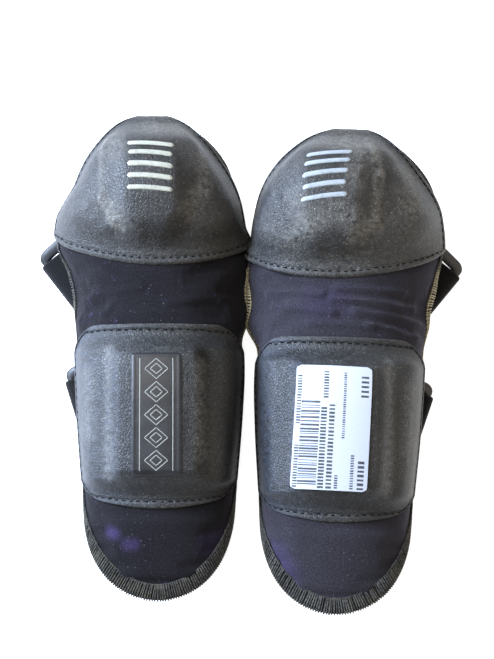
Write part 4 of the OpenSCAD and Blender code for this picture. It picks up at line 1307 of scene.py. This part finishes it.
def patches(side, which):
    """Hook tape on the tail, facing up, and pile tape under the strap, facing down."""
    spec = strap_spec(side, which)
    xx, yy = np.meshgrid(np.linspace(PATCH_FROM, PATCH_TO, 60), np.linspace(-PATCH_HALF, PATCH_HALF, 74))
    edge = np.minimum.reduce([xx - PATCH_FROM, PATCH_TO - xx, PATCH_HALF - np.abs(yy)])
    hooks = np.cos(xx * 2 * np.pi / 1.6) * np.cos(yy * 2 * np.pi / 1.6)
    hook_low = np.full_like(xx, STRAP_T + PATCH_GAP)
    pile_top = hook_low + 2 * PATCH_T + PATCH_GAP
    for name, knobs, material, slot, rides in (
            ("hook_patch", hooks, HOOK, "hook_tape", f"{which}_tail_end"),
            ("pile_patch", rough(xx, yy, 1.6, 6), PILE, "pile_tape", BODY_OF[which])):
        high = 0.45 + 0.3 * (0.5 + 0.5 * knobs) * smooth(edge / 0.8)
        top, under = (hook_low + high, hook_low) if name == "hook_patch" else (pile_top, pile_top - high)
        pts, faces = closed_sheet(strap_local(spec, xx, yy, top), strap_local(spec, xx, yy, under))
        piece(f"{side}_{which}_{name}_soft", side, pts, faces, material, slot, rides,
              [f"{side}_{which}_{name}"])


def moulded_loop(side, which):
    """The plastic loop: round where the strap turns, broad and flat-faced along its arms."""
    spec = strap_spec(side, which)
    r, half = 3.4, LENGTH / 2
    centre = []
    for cx, cy, a0 in ((DEPTH - r, half - r, 0), (r, half - r, 90), (r, -half + r, 180),
                       (DEPTH - r, -half + r, 270)):
        for b in np.radians(np.linspace(a0, a0 + 90, 9)):
            centre.append((cx + r * math.cos(b), cy + r * math.sin(b)))
    centre.append(centre[0])
    line = resample_path(np.array(centre), 0.9)[:-1]
    run = unit(np.roll(line, -1, 0) - np.roll(line, 1, 0))
    outwards = np.stack([run[:, 1], -run[:, 0]], -1)
    broad = smooth((np.abs(line[:, 1]) - (half - 3.2)) / 2.4)
    sides = 16
    a = np.arange(sides) * 2 * math.pi / sides
    ring = []
    for i, p in enumerate(line):
        w = LOOP_R + 0.75 * broad[i]
        h = LOOP_R - 0.1 * broad[i]
        power = 1 - 0.45 * broad[i]
        c = np.sign(np.cos(a)) * np.abs(np.cos(a)) ** power
        s = np.sign(np.sin(a)) * np.abs(np.sin(a)) ** power
        q = p + outwards[i] * (w * c + 0.3 * broad[i])[:, None]
        ring.append(np.column_stack([q, h * s]))
    ring = np.array(ring).reshape(-1, 3)
    x = ring[:, 0] * math.cos(PITCH) - ring[:, 2] * math.sin(PITCH)
    z = LOOP_Z + ring[:, 0] * math.sin(PITCH) + ring[:, 2] * math.cos(PITCH)
    pts = strap_local(spec, x, ring[:, 1], z)
    n = len(line)
    faces = [[i * sides + k, ((i + 1) % n) * sides + k, ((i + 1) % n) * sides + (k + 1) % sides,
              i * sides + (k + 1) % sides] for i in range(n) for k in range(sides)]
    piece(f"{side}_{which}_loop_moulded", side, pts, faces, PLASTIC, "loop_plastic", f"{which}_ring",
          [f"{side}_{which}_loop"])


def tab(side, which):
    """Webbing round the loop's inner bar and up to the panel."""
    spec = strap_spec(side, which)
    a = spec[1]
    bx, bz = DEPTH * math.cos(PITCH), LOOP_Z + DEPTH * math.sin(PITCH)
    mid = BIGHT_R + 0.8
    turn = np.radians(np.linspace(100, 440, 40))
    loop = strap_local(spec, bx + mid * np.cos(turn), np.zeros(40), bz + mid * np.sin(turn))
    end = np.array(spec[3], float)
    t = np.linspace(0, 1, 14)[1:, None]
    tongue = loop[-1] + (end - loop[-1]) * t
    path = softened(np.concatenate([loop, tongue]), 2)
    first = np.array([-math.sin(a), math.cos(a), 0])
    share = np.clip((np.arange(len(path)) - 38) / 14, 0, 1)[:, None]
    across = first * (1 - share) + np.array([0, 1, 0]) * share
    pts, faces, cloth = ribbon(path, across, TAB_W, TAB_T, 14, 0.09)
    piece(f"{side}_{which}_tab_webbing", side, pts, faces, WEBBING, "webbing", BODY_OF[which],
          [f"{side}_{which}_tab"], attributes={"cloth": cloth})


# ---------------------------------------------------------------- build

for side in ("left", "right"):
    for kind in ("knee", "shin"):
        cover(kind, side)
        stitches(kind, side)
        padding(kind, side)
    panel(side)
    overlock(side)
    bars(side)
    badge(side)
    badge_lines(side)
    for which in ("upper", "lower"):
        strap(side, which)
        tail(side, which)
        patches(side, which)
        moulded_loop(side, which)
        tab(side, which)
label()

# ---------------------------------------------------------------- stage, light and camera


# Where the camera looks, from how far and how steeply; it looks along the leg from the foot.
TARGET, DISTANCE, ELEVATION, LENS = Vector((-0.0020, 0.0156, 0.030)), 0.9, math.radians(82), 100.8
FLOOR_HALF, LIT_AT = 3.0, (0, 0, 0.03)


def stage():
    m = Nodes("floor")
    at = m.object_place()
    cloud = m.span(m.noise(at, 3, 3), 0.3, 0.7)
    m.set("Base Color", m.mix(cloud, (0.93, 0.93, 0.93), (0.95, 0.95, 0.95)))
    m.set("Roughness", 0.9)
    m.set("Specular IOR Level", 0.1)
    m.set("Emission Color", (1, 1, 1, 1))
    m.set("Emission Strength", 0.88)
    mesh = bpy.data.meshes.new("floor")
    h = FLOOR_HALF
    mesh.from_pydata([(-h, -h, 0), (h, -h, 0), (h, h, 0), (-h, h, 0)], [], [(0, 1, 2, 3)])
    floor = bpy.data.objects.new("floor", mesh)
    mesh.materials.append(m.material)
    bpy.context.scene.collection.objects.link(floor)


def aimed(ob, at, direction):
    ob.location = at
    ob.rotation_mode = "QUATERNION"
    ob.rotation_quaternion = direction.to_track_quat("-Z", "Y")
    bpy.context.scene.collection.objects.link(ob)


def area(name, at, size, power, colour):
    data = bpy.data.lights.new(name, "AREA")
    data.energy, data.color, data.size = power, colour, size
    aimed(bpy.data.objects.new(name, data), at, Vector(LIT_AT) - Vector(at))


stage()
area("key", (-0.80, 0.30, 0.55), 0.5, 34, (0.62, 0.76, 1.0))
area("fill", (0.9, -0.2, 0.6), 0.6, 2.2, (1.0, 0.82, 0.58))
area("top", (-0.25, 0.35, 1.3), 0.7, 7.5, (1.0, 0.95, 0.88))

scene = bpy.context.scene
world = bpy.data.worlds.new("studio")
scene.world = world
world.use_nodes = True
sky = world.node_tree.nodes["Background"].inputs
sky["Color"].default_value = (0.95, 0.97, 1.0, 1)
sky["Strength"].default_value = 0.20
scene.view_settings.view_transform = "Standard"

camera = bpy.data.cameras.new("camera")
camera.sensor_width, camera.lens = 36.0, LENS
camera.clip_start, camera.clip_end = 0.01, 20
back = Vector((0, -math.cos(ELEVATION), math.sin(ELEVATION)))
scene.camera = bpy.data.objects.new("camera", camera)
aimed(scene.camera, TARGET + back * DISTANCE, -back)
